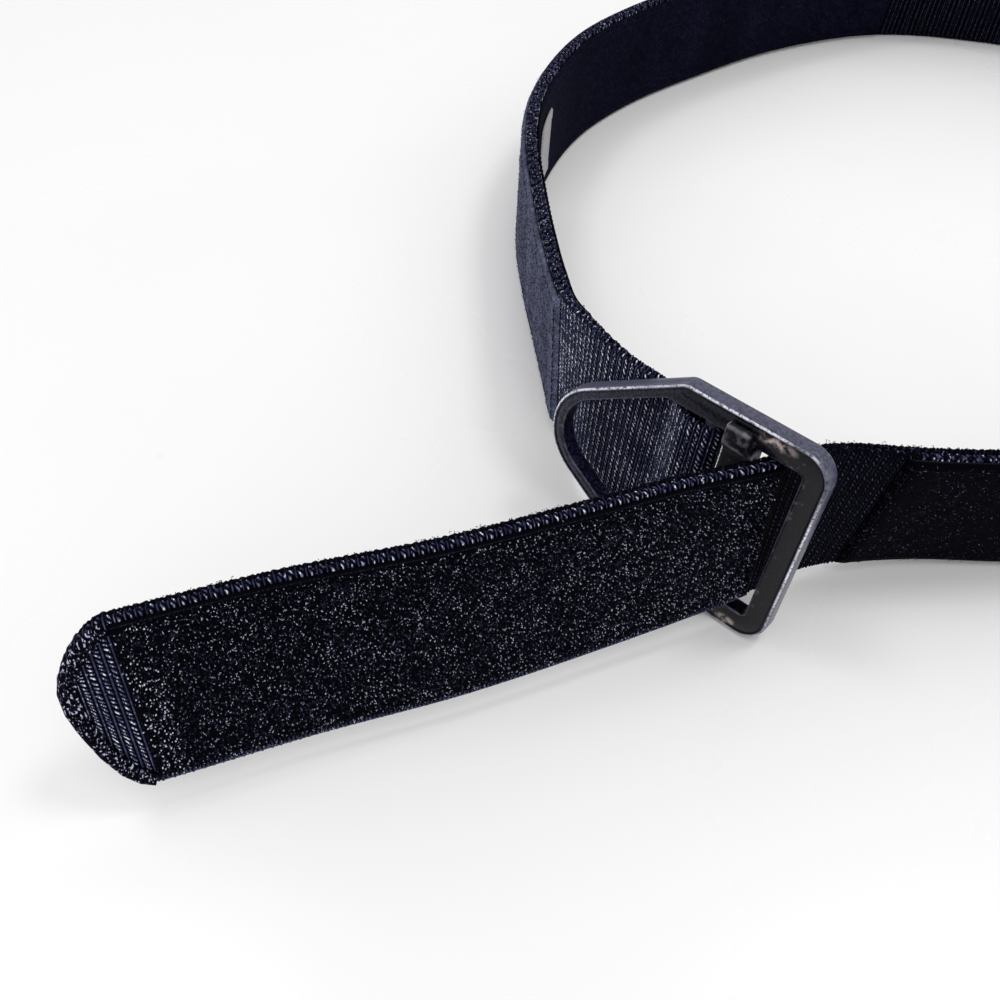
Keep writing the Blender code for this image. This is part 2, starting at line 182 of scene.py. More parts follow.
class Course:
    """A line of places, each with the directions across the strap and out of its face."""

    def __init__(self, place: np.ndarray, across: np.ndarray) -> None:
        """Keep the line and work out its lengths and outward directions.

        Args:
            place: Places along the line, one a row.
            across: Direction to the upper edge at each place.
        """
        self.place = place
        self.across = unit(across)
        self.out = unit(np.cross(unit(np.gradient(place, axis=0)), self.across))
        runs = np.linalg.norm(np.diff(place, axis=0), axis=1)
        self.run = np.concatenate(([0.0], np.cumsum(runs)))

    @property
    def length(self) -> float:
        """Length of the whole line."""
        return float(self.run[-1])

    def at(self, lengths: np.ndarray) -> tuple[np.ndarray, np.ndarray, np.ndarray]:
        """Read the line at lengths along it.

        Args:
            lengths: Distances from the start of the line.

        Returns:
            Places, and the unit directions across and out.
        """
        def read(values: np.ndarray) -> np.ndarray:
            """Return one kind of value at the lengths that are asked for."""
            return np.stack([np.interp(lengths, self.run, c) for c in values.T], axis=-1)
        return read(self.place), unit(read(self.across)), unit(read(self.out))

    def points(self, along: np.ndarray, up: np.ndarray, proud: np.ndarray) -> np.ndarray:
        """Turn strap coordinates into points.

        Args:
            along: Distance along the line of each point.
            up: Distance from the line toward the upper edge.
            proud: Distance out of the face.

        Returns:
            Points in the frame of the part, in the shape of the inputs.
        """
        along, up, proud = np.broadcast_arrays(along, up, proud)
        place, across, out = self.at(along.ravel())
        flat = place + across * up.reshape(-1, 1) + out * proud.reshape(-1, 1)
        return flat.reshape(*along.shape, 3)


@dataclass(frozen=True)
class BuckleSizes:
    """Sizes and pose of the buckle: x runs to the nose, y down, z out of the front face."""

    slot_length: float = 47.5 * MM
    rail_width: float = 6.5 * MM
    end_bar_width: float = 6.3 * MM
    thickness: float = 5.0 * MM
    shoulder_outer: float = 32.6 * MM
    shoulder_inner: float = 36.5 * MM
    nose_outer_apex: float = 80.6 * MM
    nose_inner_apex: float = 74.2 * MM
    nose_outer_radius: float = 16.0 * MM
    nose_inner_radius: float = 12.8 * MM
    corner_radius: float = 7.5 * MM
    shoulder_radius: float = 4.0 * MM
    inner_corner_radius: float = 1.5 * MM
    fixed_bar_place: float = 24.8 * MM
    fixed_bar_radius: float = 1.8 * MM
    fixed_bar_depth: float = 3.2 * MM
    sliding_bar_place: float = 16.2 * MM
    sliding_bar_width: float = 6.6 * MM
    sliding_bar_reach: float = 28.4 * MM
    sliding_bar_step: float = 22.3 * MM
    sliding_bar_high: float = 2.4 * MM
    sliding_bar_middle: float = 0.6 * MM
    sliding_bar_low: float = 2.8 * MM
    place: Vector = Vector((63.5, 148.2, 30.6)) * MM
    heading: float = math.radians(138.1)
    rise: float = math.radians(1.5)
    lean: float = math.radians(-7.7)

    def axes(self) -> tuple[Vector, Vector, Vector]:
        """Return the buckle's own axes in the frame of the part."""
        to_nose = Vector((math.cos(self.rise) * math.cos(self.heading),
                          math.cos(self.rise) * math.sin(self.heading), math.sin(self.rise)))
        level_front = Vector((0.0, 0.0, 1.0)).cross(to_nose).normalized()
        square_up = to_nose.cross(level_front)
        down = -math.cos(self.lean) * square_up - math.sin(self.lean) * level_front
        return to_nose, down, to_nose.cross(down)

    def matrix(self) -> Matrix:
        """Return the matrix from the buckle's own frame to the frame of the part."""
        turned = Matrix(self.axes()).transposed().to_4x4()
        return Matrix.Translation(self.place - PLAN_CENTRE) @ turned


@dataclass
class BeltCourses:
    """The belt's middle line, and the whole webbing's line out, round the fixed bar and back."""

    buckle: BuckleSizes
    ply: float = 1.5 * MM
    clearance: float = CLEARANCE
    row_step: float = 6.0 * MM
    fine_step: float = 1.0 * MM
    middle: Course = field(init=False)
    webbing: Course = field(init=False)
    fold_start: float = field(init=False)
    fold_end: float = field(init=False)

    def __post_init__(self) -> None:
        """Work out both lines."""
        knots = np.array([[s.x_mm * MM, s.y_mm * MM, s.z_mm * MM, s.lean_deg] for s in STATIONS])
        self.middle = self.leaning_course(smooth_curve(knots, self.fine_step))
        self.webbing = self.webbing_course()

    @staticmethod
    def leaning_course(rows: np.ndarray) -> Course:
        """Turn places and leans into a course.

        Args:
            rows: Places in the plan, and the lean of the upper edge in degrees.

        Returns:
            The course in the frame of the part.
        """
        place = rows[:, :3] - np.array(PLAN_CENTRE)
        lean = np.radians(rows[:, 3])[:, None]
        ahead = unit(np.gradient(place, axis=0))
        up = unit(np.array([0.0, 0.0, 1.0]) - ahead * ahead[:, 2:3])
        return Course(place, np.cos(lean) * up + np.sin(lean) * np.cross(ahead, up))

    def fold_points(self) -> np.ndarray:
        """Return the webbing's middle line round the fixed bar."""
        sizes = self.buckle
        radius = sizes.fixed_bar_radius + self.clearance + self.ply / 2
        start, stop = (math.radians(angle) for angle in FOLD_ARC_DEG)
        arc = [(sizes.fixed_bar_place + radius * math.cos(angle),
                -sizes.fixed_bar_depth + radius * math.sin(angle))
               for angle in np.linspace(start, stop, FOLD_ARC_STEPS)]
        front = [(x * MM, z * MM) for x, z in FOLD_FRONT]
        back = [(x * MM, z * MM) for x, z in FOLD_BACK]
        matrix = sizes.matrix()
        return np.array([tuple(matrix @ Vector((x, 0.0, z))) for x, z in front + arc + back])

    def webbing_course(self) -> Course:
        """Return the line of the whole webbing, and note where its fold starts and ends."""
        rows = np.linspace(0.0, self.middle.length, round(self.middle.length / self.row_step) + 1)
        offset = (self.ply + self.clearance) / 2
        outer = self.middle.points(rows, 0.0, offset)
        inner = self.middle.points(rows, 0.0, -offset)[::-1]
        across = self.middle.at(rows)[1]
        fold = self.fold_points()
        fold_across = np.tile(-np.array(self.buckle.axes()[1]), (len(fold), 1))
        knots = np.hstack((np.vstack((outer, fold, inner)),
                           np.vstack((across, fold_across, across[::-1]))))
        fine = smooth_curve(knots, self.fine_step / 2)
        course = Course(fine[:, :3], fine[:, 3:])
        near = [np.argmin(np.linalg.norm(fine[:, :3] - end, axis=1)) for end in (outer[-1], inner[0])]
        self.fold_start, self.fold_end = (float(course.run[i]) for i in near)
        return course

    def station(self, name: str) -> float:
        """Return how far along the middle line a named station lies."""
        mark = next(s for s in STATIONS if s.name == name)
        target = np.array([mark.x_mm, mark.y_mm, mark.z_mm]) * MM - np.array(PLAN_CENTRE)
        return float(self.middle.run[np.argmin(np.linalg.norm(self.middle.place - target, axis=1))])

    def on_ply(self, ply: Ply, along: float) -> float:
        """Turn a length along the middle line into one along the webbing's line.

        Args:
            ply: Which layer of webbing is meant.
            along: Length along the middle line from the tip.

        Returns:
            The length along the webbing's line of the same place.
        """
        share = along / self.middle.length
        if ply is Ply.OUTER:
            return share * self.fold_start
        return self.webbing.length - share * (self.webbing.length - self.fold_end)


def make_mesh(name: str, points: np.ndarray, faces: np.ndarray, uv: np.ndarray | None = None,
              shade: np.ndarray | None = None) -> bpy.types.Mesh:
    """Make a mesh from arrays.

    Args:
        name: Name of the mesh.
        points: Vertex places, one a row.
        faces: Vertex numbers of each face, all faces with the same count.
        uv: Surface coordinates of each vertex in metres.
        shade: A value from 0 to 1 at each vertex, which the material reads.

    Returns:
        The mesh, shaded smooth.
    """
    mesh = bpy.data.meshes.new(name)
    corners = faces.shape[1]
    mesh.vertices.add(len(points))
    mesh.vertices.foreach_set("co", points.astype(np.float32).ravel())
    mesh.loops.add(faces.size)
    mesh.loops.foreach_set("vertex_index", faces.astype(np.int32).ravel())
    mesh.polygons.add(len(faces))
    mesh.polygons.foreach_set("loop_start", np.arange(0, faces.size, corners, dtype=np.int32))
    if uv is not None:
        layer = mesh.uv_layers.new(name="strap")
        layer.data.foreach_set("uv", uv[faces.ravel()].astype(np.float32).ravel())
    if shade is not None:
        values = mesh.attributes.new("shade", "FLOAT", "POINT")
        values.data.foreach_set("value", np.broadcast_to(shade, len(points)).astype(np.float32))
    mesh.update(calc_edges=True)
    mesh.shade_smooth()
    return mesh


def grid_faces(rows: int, columns: int, closed: bool) -> np.ndarray:
    """Return the quads of a grid of vertices.

    Args:
        rows: Count of rows.
        columns: Count of vertices in a row.
        closed: Whether each row joins its own start.

    Returns:
        Four vertex numbers a face.
    """
    index = np.arange(rows * columns).reshape(rows, columns)
    if closed:
        index = np.hstack((index, index[:, :1]))
    quads = np.stack((index[:-1, :-1], index[:-1, 1:], index[1:, 1:], index[1:, :-1]), axis=-1)
    return quads.reshape(-1, 4)


def add_piece(name: str, mesh: bpy.types.Mesh, material: bpy.types.Material, slot: Slot,
              *nodes: str) -> bpy.types.Object:
    """Put a piece in the scene on the part's body.

    Args:
        name: Name of the piece.
        mesh: Its mesh, in the frame of the part.
        material: Its finish.
        slot: The record's material slot that it belongs to; not used.
        nodes: Solids of the part that it stands for.

    Returns:
        The new object.
    """
    obj = bpy.data.objects.new(name, mesh)
    bpy.context.scene.collection.objects.link(obj)
    mesh.materials.append(material)
    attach(obj, BODY)
    if nodes:
        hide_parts(*nodes)
    log.info("%s: %d faces", name, len(mesh.polygons))
    return obj


def curls(start: np.ndarray, out: np.ndarray, side: np.ndarray, height: np.ndarray,
          reach: np.ndarray, radius: float, steps: int = 3) -> Arrays:
    """Make many small bent fibres as three-sided tubes.

    Args:
        start: Root of each fibre.
        out: Direction that it stands up in.
        side: Direction that it bends over to.
        height: How high each stands.
        reach: How far each bends over.
        radius: Radius of every fibre.
        steps: Lengths of tube in a fibre.

    Returns:
        Vertices and faces.
    """
    count = len(start)
    turn = np.linspace(0.0, math.pi * 0.9, steps + 1)
    rise = np.sin(turn)[None, :, None] * height[:, None, None]
    over = (1 - np.cos(turn))[None, :, None] * reach[:, None, None] / 2
    spine = start[:, None] + out[:, None] * rise + side[:, None] * over
    flat = np.cross(out, side)
    ring = []
    for corner in range(3):
        angle = TAU * corner / 3
        ring.append(spine + radius * (math.cos(angle) * flat + math.sin(angle) * out)[:, None])
    points = np.stack(ring, axis=2).reshape(-1, 3)
    one = grid_faces(steps + 1, 3, True)
    faces = one[None] + (np.arange(count) * (steps + 1) * 3)[:, None, None]
    return points, faces.reshape(-1, 4)


class Graph:
    """A small helper that adds and joins shader nodes."""

    def __init__(self, tree: bpy.types.NodeTree) -> None:
        """Keep the tree that nodes are added to."""
        self.tree = tree

    def add(self, kind: str, inputs: dict | None = None, **settings) -> bpy.types.Node:
        """Add a node.

        Args:
            kind: Blender's name of the node's type.
            inputs: Values or other nodes' sockets, by input name or number.
            settings: Properties of the node itself.

        Returns:
            The new node.
        """
        node = self.tree.nodes.new(kind)
        for key, value in settings.items():
            setattr(node, key, value)
        for key, value in (inputs or {}).items():
            self.feed(node.inputs[key], value)
        return node

    def feed(self, socket: bpy.types.NodeSocket, value: object) -> None:
        """Join a socket to another, or set its value.

        Args:
            socket: Input of a node.
            value: Another node's output, or a plain value.
        """
        if isinstance(value, bpy.types.NodeSocket):
            self.tree.links.new(value, socket)
        else:
            socket.default_value = value

    def math(self, operation: str, *values: object) -> bpy.types.NodeSocket:
        """Add a math node and return its output."""
        return self.add("ShaderNodeMath", dict(enumerate(values)), operation=operation).outputs[0]

    def times(self, first: object, second: object) -> bpy.types.NodeSocket:
        """Multiply two values."""
        return self.math("MULTIPLY", first, second)

    def invert(self, value: object) -> bpy.types.NodeSocket:
        """Return what is left of 1 after a value."""
        return self.math("SUBTRACT", 1.0, value)

    def noise(self, vector: object, scale: float, detail: float = 2.0) -> bpy.types.NodeSocket:
        """Add a noise texture and return its value."""
        inputs = {"Vector": vector, "Scale": scale, "Detail": detail}
        return self.add("ShaderNodeTexNoise", inputs).outputs["Fac"]

    def stretch(self, vector: object, scale: Triple) -> bpy.types.NodeSocket:
        """Scale a vector and return the result."""
        return self.add("ShaderNodeVectorMath", {0: vector, 1: scale}, operation="MULTIPLY").outputs[0]

    def ramp(self, value: object, low: float, high: float) -> bpy.types.NodeSocket:
        """Rise smoothly from 0 to 1 between two values."""
        inputs = {"Value": value, "From Min": low, "From Max": high}
        return self.add("ShaderNodeMapRange", inputs, interpolation_type="SMOOTHSTEP").outputs[0]

    def mix(self, share: object, first: object, second: object) -> bpy.types.NodeSocket:
        """Mix two colours and return the result.

        Args:
            share: Share of the second colour.
            first: Colour at a share of 0.
            second: Colour at a share of 1.

        Returns:
            The mixed colour.
        """
        node = self.add("ShaderNodeMix", data_type="RGBA")
        self.feed(node.inputs[0], share)
        self.feed(node.inputs[6], first)
        self.feed(node.inputs[7], second)
        return node.outputs[2]


def rgb(colour: Triple, share: float = 1.0) -> tuple[float, float, float, float]:
    """Return an opaque colour, scaled by a share."""
    return (*(share * part for part in colour), 1.0)


class EffectGroups:
    """Shader node groups that several finishes share, each built once."""

    @staticmethod
    def begin(name: str, inputs: dict[str, float], outputs: tuple[str, ...]) -> tuple[
            bpy.types.NodeTree, bpy.types.Node, bpy.types.Node]:
        """Make an empty group with float sockets.

        Args:
            name: Name of the group.
            inputs: Input names and their default values.
            outputs: Output names.

        Returns:
            The group, its input node and its output node.
        """
        tree = bpy.data.node_groups.new(name, "ShaderNodeTree")
        tree.interface.new_socket("Vector", in_out="INPUT", socket_type="NodeSocketVector")
        for key, value in inputs.items():
            socket = tree.interface.new_socket(key, in_out="INPUT", socket_type="NodeSocketFloat")
            socket.default_value = value
        for key in outputs:
            tree.interface.new_socket(key, in_out="OUTPUT", socket_type="NodeSocketFloat")
        return tree, tree.nodes.new("NodeGroupInput"), tree.nodes.new("NodeGroupOutput")

    @classmethod
    def fibre(cls) -> bpy.types.NodeTree:
        """Group for fine yarn fibres: streaks, soft mottling and stray light specks."""
        name = "fibre grain"
        if name in bpy.data.node_groups:
            return bpy.data.node_groups[name]
        tree, given, result = cls.begin(name, {"Fineness": 4000.0, "Mottle": 120.0, "Specks": 0.7},
                                        ("Height", "Mottling", "Speck"))
        graph = Graph(tree)
        vector = given.outputs["Vector"]
        streak = graph.stretch(vector, (1.0, 0.35, 1.0))
        height = graph.noise(streak, given.outputs["Fineness"], 3.0)
        patches = graph.noise(vector, given.outputs["Mottle"], 4.0)
        dots = graph.add("ShaderNodeTexVoronoi", {"Vector": vector, "Scale": 900.0})
        near = graph.invert(graph.ramp(dots.outputs["Distance"], 0.1, 0.3))
        rare = graph.math("GREATER_THAN", graph.noise(vector, 700.0, 1.0), given.outputs["Specks"])
        graph.feed(result.inputs["Height"], height)
        graph.feed(result.inputs["Mottling"], graph.ramp(patches, 0.3, 0.7))
        graph.feed(result.inputs["Speck"], graph.times(near, rare))
        return tree

    @classmethod
    def wear(cls) -> bpy.types.NodeTree:
        """Group for worn edges: 1 where a convex edge is rubbed."""
        name = "edge wear"
        if name in bpy.data.node_groups:
            return bpy.data.node_groups[name]
        tree, given, result = cls.begin(name, {"Breakup": 600.0, "Start": 0.53}, ("Mask",))
        graph = Graph(tree)
        pointed = graph.add("ShaderNodeNewGeometry").outputs["Pointiness"]
        rough = graph.noise(given.outputs["Vector"], given.outputs["Breakup"], 4.0)
        uneven = graph.times(graph.math("SUBTRACT", rough, 0.5), 0.08)
        bent = graph.math("ADD", pointed, uneven)
        stop = graph.math("ADD", given.outputs["Start"], 0.05)
        node = graph.add("ShaderNodeMapRange", {"Value": bent, "From Min": given.outputs["Start"],
                                                "From Max": stop})
        graph.feed(result.inputs["Mask"], node.outputs[0])
        return tree

    @staticmethod
    def place(graph: Graph, tree: bpy.types.NodeTree, inputs: dict) -> bpy.types.Node:
        """Place a group in a material with its own values.

        Args:
            graph: Nodes of the material.
            tree: The group.
            inputs: Values or outputs for its inputs, by name.

        Returns:
            The node that holds the group.
        """
        node = graph.add("ShaderNodeGroup", node_tree=tree)
        for key, value in inputs.items():
            graph.feed(node.inputs[key], value)
        return node


class Finish:
    """A material that is built once and then shared."""

    name: str

    def build(self) -> bpy.types.Material:
        """Return the material, built the first time."""
        if self.name in bpy.data.materials:
            return bpy.data.materials[self.name]
        material = bpy.data.materials.new(self.name)
        material.use_nodes = True
        self.fill(Graph(material.node_tree), material.node_tree.nodes["Principled BSDF"])
        return material

    def fill(self, graph: Graph, shader: bpy.types.Node) -> None:
        """Add the finish's own nodes, which each kind of finish gives."""
        raise NotImplementedError


@dataclass(frozen=True)
class YarnFinish(Finish):
    """Finish of a woven, knitted or tufted surface, which reads the mesh's shade value."""

    name: str
    # The deep and raised colours are mixed by the shade value; where it follows relief, that paints
    # shade and highlight.
    deep: Triple
    raised: Triple
    # Lightest colour, a painted highlight for the most lit places.
    painted_highlight: Triple | None = None
    speck: Triple = (0.2, 0.2, 0.24)
    roughness: float = 0.55
    specular: float = 0.5
    sheen: float = 0.2
    sheen_tint: Triple = (0.6, 0.65, 0.8)
    fineness: float = 4000.0
    mottle: float = 120.0
    mottle_depth: float = 0.35
    specks: float = 0.7
    bump: float = 0.25
    cut: float = 0.4
    sparkle: float = 0.7
    spark_range: tuple[float, float] = (0.46, 0.6)
    painted_highlight_range: tuple[float, float] = (0.3, 0.7)

    def fill(self, graph: Graph, shader: bpy.types.Node) -> None:
        """Colour and roughen the surface.

        Args:
            graph: Nodes of the material.
            shader: Its Principled node.
        """
        strap = graph.add("ShaderNodeUVMap", uv_map="strap").outputs[0]
        shade = graph.add("ShaderNodeAttribute", attribute_name="shade").outputs["Fac"]
        grain = EffectGroups.place(graph, EffectGroups.fibre(), {
            "Vector": strap, "Fineness": self.fineness, "Mottle": self.mottle, "Specks": self.specks})
        wear_and_light = graph.times(grain.outputs["Mottling"], self.mottle_depth)
        top = graph.times(graph.ramp(shade, self.cut, 1.0), graph.invert(wear_and_light))
        spark = graph.times(graph.ramp(grain.outputs["Height"], *self.spark_range), self.sparkle)
        lit = graph.times(top, graph.math("ADD", spark, 1.0 - self.sparkle))
        colour = graph.mix(lit, rgb(self.deep), rgb(self.raised))
        # Painted highlight: the most lit places turn to the lightest colour.
        if self.painted_highlight:
            colour = graph.mix(graph.ramp(lit, *self.painted_highlight_range), colour, rgb(self.painted_highlight))
        dotted = graph.mix(grain.outputs["Speck"], colour, rgb(self.speck))
        bump = graph.add("ShaderNodeBump", {"Strength": self.bump, "Distance": 0.05 * MM,
                                            "Height": grain.outputs["Height"]})
        graph.feed(shader.inputs["Base Color"], dotted)
        graph.feed(shader.inputs["Normal"], bump.outputs[0])
        shader.inputs["Roughness"].default_value = self.roughness
        shader.inputs["Specular IOR Level"].default_value = self.specular
        shader.inputs["Sheen Weight"].default_value = self.sheen
        shader.inputs["Sheen Roughness"].default_value = 0.4
        shader.inputs["Sheen Tint"].default_value = rgb(self.sheen_tint)


@dataclass(frozen=True)
class WornSpot:
    """A rubbed place on the buckle, in the buckle's own millimetres."""

    x_mm: float
    y_mm: float
    long_mm: float
    wide_mm: float


@dataclass(frozen=True)
class PaintFinish(Finish):
    """Satin black paint on steel, grained and rubbed, with painted reflections and highlights."""

    name: str
    face: Triple = (0.0022, 0.0023, 0.0065)
    # The side colour is a painted reflection on the outer walls; the edge colour is a painted highlight
    # on the rims and also marks edge wear.
    side: Triple = (0.09, 0.092, 0.15)
    bare: Triple = (0.5, 0.4, 0.39)
    edge: Triple = (0.85, 0.87, 0.97)
    roughness: float = 0.3
    coat: float = 0.3
    greyed_by: float = 62.0 * MM
    darkest: float = 0.2
    lightest: float = 14.0
    grain: float = 1500.0
    face_limit: tuple[float, float] = (0.44, 0.5)
    spots: tuple[WornSpot, ...] = ()

    def spot_mask(self, graph: Graph, vector: object) -> object:
        """Return where the rubbed places lie, as a socket or 0.

        Args:
            graph: Nodes of the material.
            vector: Place on the part's flat face.

        Returns:
            A value near 1 in the rubbed places, or plain 0 if there are none.
        """
        total: object = 0.0
        for spot in self.spots:
            centre = (spot.x_mm * MM, spot.y_mm * MM, 0.0)
            away = graph.add("ShaderNodeVectorMath", {0: vector, 1: centre}, operation="SUBTRACT")
            shrink = (1 / (spot.long_mm * MM), 1 / (spot.wide_mm * MM), 0.0)
            scaled = graph.stretch(away.outputs[0], shrink)
            far = graph.add("ShaderNodeVectorMath", {0: scaled}, operation="LENGTH").outputs["Value"]
            inside = graph.invert(graph.ramp(far, 0.3, 1.0))
            total = graph.math("MAXIMUM", total, inside)
        return total

    def fill(self, graph: Graph, shader: bpy.types.Node) -> None:
        """Colour and roughen the surface.

        Args:
            graph: Nodes of the material.
            shader: Its Principled node.
        """
        local = graph.add("ShaderNodeAttribute", attribute_name="own").outputs["Vector"]
        wear = EffectGroups.place(graph, EffectGroups.wear(), {"Vector": local, "Breakup": 500.0})
        cell = graph.noise(local, self.grain, 3.0)
        pits = graph.add("ShaderNodeTexVoronoi", {"Vector": local, "Scale": 420.0}).outputs["Distance"]
        rare = graph.ramp(graph.noise(local, 160.0, 2.0), 0.6, 0.68)
        hole = graph.times(graph.invert(graph.ramp(pits, 0.08, 0.24)), rare)
        wear_and_sheen = graph.times(self.spot_mask(graph, local),
                            graph.ramp(graph.noise(local, 420.0, 5.0), 0.42, 0.62))
        toward_nose = graph.add("ShaderNodeSeparateXYZ", {"Vector": local}).outputs["X"]
        greyer = graph.times(graph.ramp(toward_nose, 0.1 * self.greyed_by, self.greyed_by), 9.0)
        amount = graph.times(graph.ramp(cell, 0.4, 0.7), graph.math("ADD", greyer, 1.0))
        tone = graph.mix(graph.times(amount, 0.1), rgb(self.face, self.darkest),
                         rgb(self.face, self.lightest))
        shade = graph.add("ShaderNodeAttribute", attribute_name="shade").outputs["Fac"]
        # Painted reflection: where the shade value is high, the outer walls take the lighter side
        # colour.
        painted_wall_reflection = graph.times(graph.ramp(shade, *self.face_limit), graph.ramp(cell, 0.0, 0.8))
        # Painted highlight: on the rims, the colour turns to the bright edge colour and partly
        # metallic.
        broken = graph.ramp(graph.noise(local, 90.0, 3.0), 0.3, 0.6)
        rim = graph.times(graph.times(graph.ramp(shade, 0.8, 1.0), broken),
                         graph.ramp(cell, 0.3, 0.55))
        thin = graph.math("MAXIMUM", graph.times(wear.outputs["Mask"], 0.3), rim)
        edged = graph.mix(thin, graph.mix(painted_wall_reflection, tone, rgb(self.side)), rgb(self.edge))
        on_face = graph.invert(graph.ramp(shade, *self.face_limit))
        patch = graph.times(graph.times(wear_and_sheen, on_face), 0.9)
        colour = graph.mix(patch, edged, rgb(self.bare))
        height = graph.math("SUBTRACT", graph.times(cell, 0.35),
                            graph.math("ADD", hole, graph.times(wear_and_sheen, 0.4)))
        bump = graph.add("ShaderNodeBump", {"Strength": 0.9, "Distance": 0.2 * MM, "Height": height})
        rough = graph.add("ShaderNodeMapRange", {"Value": cell, "To Min": self.roughness - 0.08,
                                                 "To Max": self.roughness + 0.12}).outputs[0]
        graph.feed(shader.inputs["Base Color"], colour)
        graph.feed(shader.inputs["Metallic"], graph.times(rim, 0.7))
        graph.feed(shader.inputs["Roughness"], rough)
        graph.feed(shader.inputs["Normal"], bump.outputs[0])
        coated = graph.times(graph.ramp(shade, 0.0, 0.5), self.coat)
        graph.feed(shader.inputs["Coat Weight"], coated)
        shader.inputs["Specular IOR Level"].default_value = 0.15
        shader.inputs["Coat Roughness"].default_value = 0.1


@dataclass(frozen=True)
class FloorFinish(Finish):
    """White table top with faint marks."""

    name: str = "table top"
    white: Triple = (0.965, 0.96, 0.96)
    mark: Triple = (0.74, 0.72, 0.7)

    def fill(self, graph: Graph, shader: bpy.types.Node) -> None:
        """Colour and roughen the surface.

        Args:
            graph: Nodes of the material.
            shader: Its Principled node.
        """
        place = graph.add("ShaderNodeTexCoord").outputs["Object"]
        broad = graph.ramp(graph.noise(place, 9.0, 5.0), 0.35, 0.75)
        rare = graph.ramp(graph.noise(place, 60.0, 2.0), 0.74, 0.78)
        tone = graph.mix(graph.times(broad, 0.08), rgb(self.white), rgb(self.mark))
        colour = graph.mix(graph.times(rare, 0.1), tone, rgb(self.mark))
        graph.feed(shader.inputs["Base Color"], colour)
        graph.feed(shader.inputs["Roughness"], graph.ramp(broad, -2.0, 4.0))
        shader.inputs["Specular IOR Level"].default_value = 0.35


# Low specular level of dull yarn, the grain of coarse yarn, and a length far beyond the buckle
DULL = 0.02
COARSE_YARN = 2600.0
NEVER = 600.0


@dataclass(frozen=True)
class Finishes:
    """Every finish of the belt."""

    webbing: YarnFinish = YarnFinish(
        "navy webbing", (0.0009, 0.0009, 0.005), (0.2, 0.22, 0.45), (0.95, 0.97, 1.0),
        speck=(0.4, 0.44, 0.6), roughness=0.6, specular=DULL, sheen=0.0, fineness=COARSE_YARN,
        specks=0.66, bump=0.35, cut=0.22, sparkle=0.5)
    # Darker copy of the webbing's finish: painted shade by the end bar and on the inner face of the
    # loop.
    shaded: YarnFinish = YarnFinish(
        "webbing in painted shade", (0.0006, 0.0006, 0.0025), (0.1, 0.11, 0.22), speck=(0.1, 0.1, 0.13),
        roughness=0.6, specular=DULL, sheen=0.0, fineness=COARSE_YARN, bump=0.35, cut=0.45,
        sparkle=0.9)
    selvedge: YarnFinish = YarnFinish(
        "black tape weave", (0.0006, 0.0006, 0.002), (0.2, 0.22, 0.4), specular=DULL, sheen=0.0,
        cut=0.3, sparkle=0.8)
    hook: YarnFinish = YarnFinish(
        "black hooks", (0.0012, 0.0012, 0.006), (0.34, 0.38, 0.7), (0.84, 0.89, 1.0),
        roughness=0.4, specular=0.03, sheen=0.0, mottle_depth=0.5, bump=0.1, cut=0.0, sparkle=0.0)
    pile: YarnFinish = YarnFinish(
        "charcoal pile", (0.0006, 0.0006, 0.0022), (0.24, 0.26, 0.42), roughness=0.85,
        specular=DULL, sheen=0.04, mottle=260.0, cut=0.1)
    binding: YarnFinish = YarnFinish(
        "tip binding", (0.0006, 0.0006, 0.002), (0.06, 0.06, 0.13), (0.5, 0.52, 0.66),
        specular=DULL, sheen=0.0, fineness=COARSE_YARN, sparkle=0.9)
    lining: YarnFinish = YarnFinish(
        "dark lining", (0.0006, 0.0006, 0.003), (0.012, 0.012, 0.036), speck=(0.02, 0.02, 0.045),
        roughness=0.8, specular=DULL, sheen=0.0, fineness=1800.0, mottle=300.0, specks=0.66, cut=0.1)
    thread: YarnFinish = YarnFinish(
        "stitching thread", (0.001, 0.001, 0.003), (0.02, 0.021, 0.035), roughness=0.5,
        specular=0.1, sheen=0.0)
    label: YarnFinish = YarnFinish(
        "white label", (0.3, 0.29, 0.3), (0.46, 0.45, 0.47), speck=(0.4, 0.4, 0.4), roughness=0.5,
        sheen=0.1, cut=0.0)
    paint: PaintFinish = PaintFinish("black paint", spots=(
        WornSpot(8.0, -28.0, 6.5, 1.9), WornSpot(4.0, 28.2, 4.0, 1.8)))
    bar_paint: PaintFinish = PaintFinish(
        "bar paint", side=(0.006, 0.006, 0.011), roughness=0.42, coat=0.02, greyed_by=NEVER)
    floor: FloorFinish = FloorFinish()


@dataclass(frozen=True)
class TipOutline:
    """Outline of the pointed tip: distance back from its end, and its upper and lower edge."""

    back_mm: tuple[float, ...] = (0.0, 0.5, 1.25, 3.25, 6.0, 9.0, 12.0)
    upper_mm: tuple[float, ...] = (7.4, 9.3, 11.4, 15.0, 18.3, 20.8, 22.25)
    lower_mm: tuple[float, ...] = (1.8, -0.8, -4.2, -10.8, -16.8, -20.5, -22.25)

    def edges(self, back: np.ndarray) -> Arrays:
        """Return the height of the upper and of the lower edge at distances back from the end."""
        upper = np.interp(back / MM, self.back_mm, self.upper_mm) * MM
        return upper, np.interp(back / MM, self.back_mm, self.lower_mm) * MM


TIP = TipOutline()


def cap_faces(rows: int, columns: int) -> np.ndarray:
    """Close both ends of a tube with a ladder of quads between its two sides.

    Args:
        rows: Count of rows in the tube.
        columns: Count of vertices in a row, which is even.

    Returns:
        Four vertex numbers a face.
    """
    pairs = np.arange(columns // 2 - 1)
    last = columns - 1
    one = np.stack((pairs, pairs + 1, last - pairs - 1, last - pairs), axis=-1)
    return np.vstack((one, one[:, ::-1] + (rows - 1) * columns))


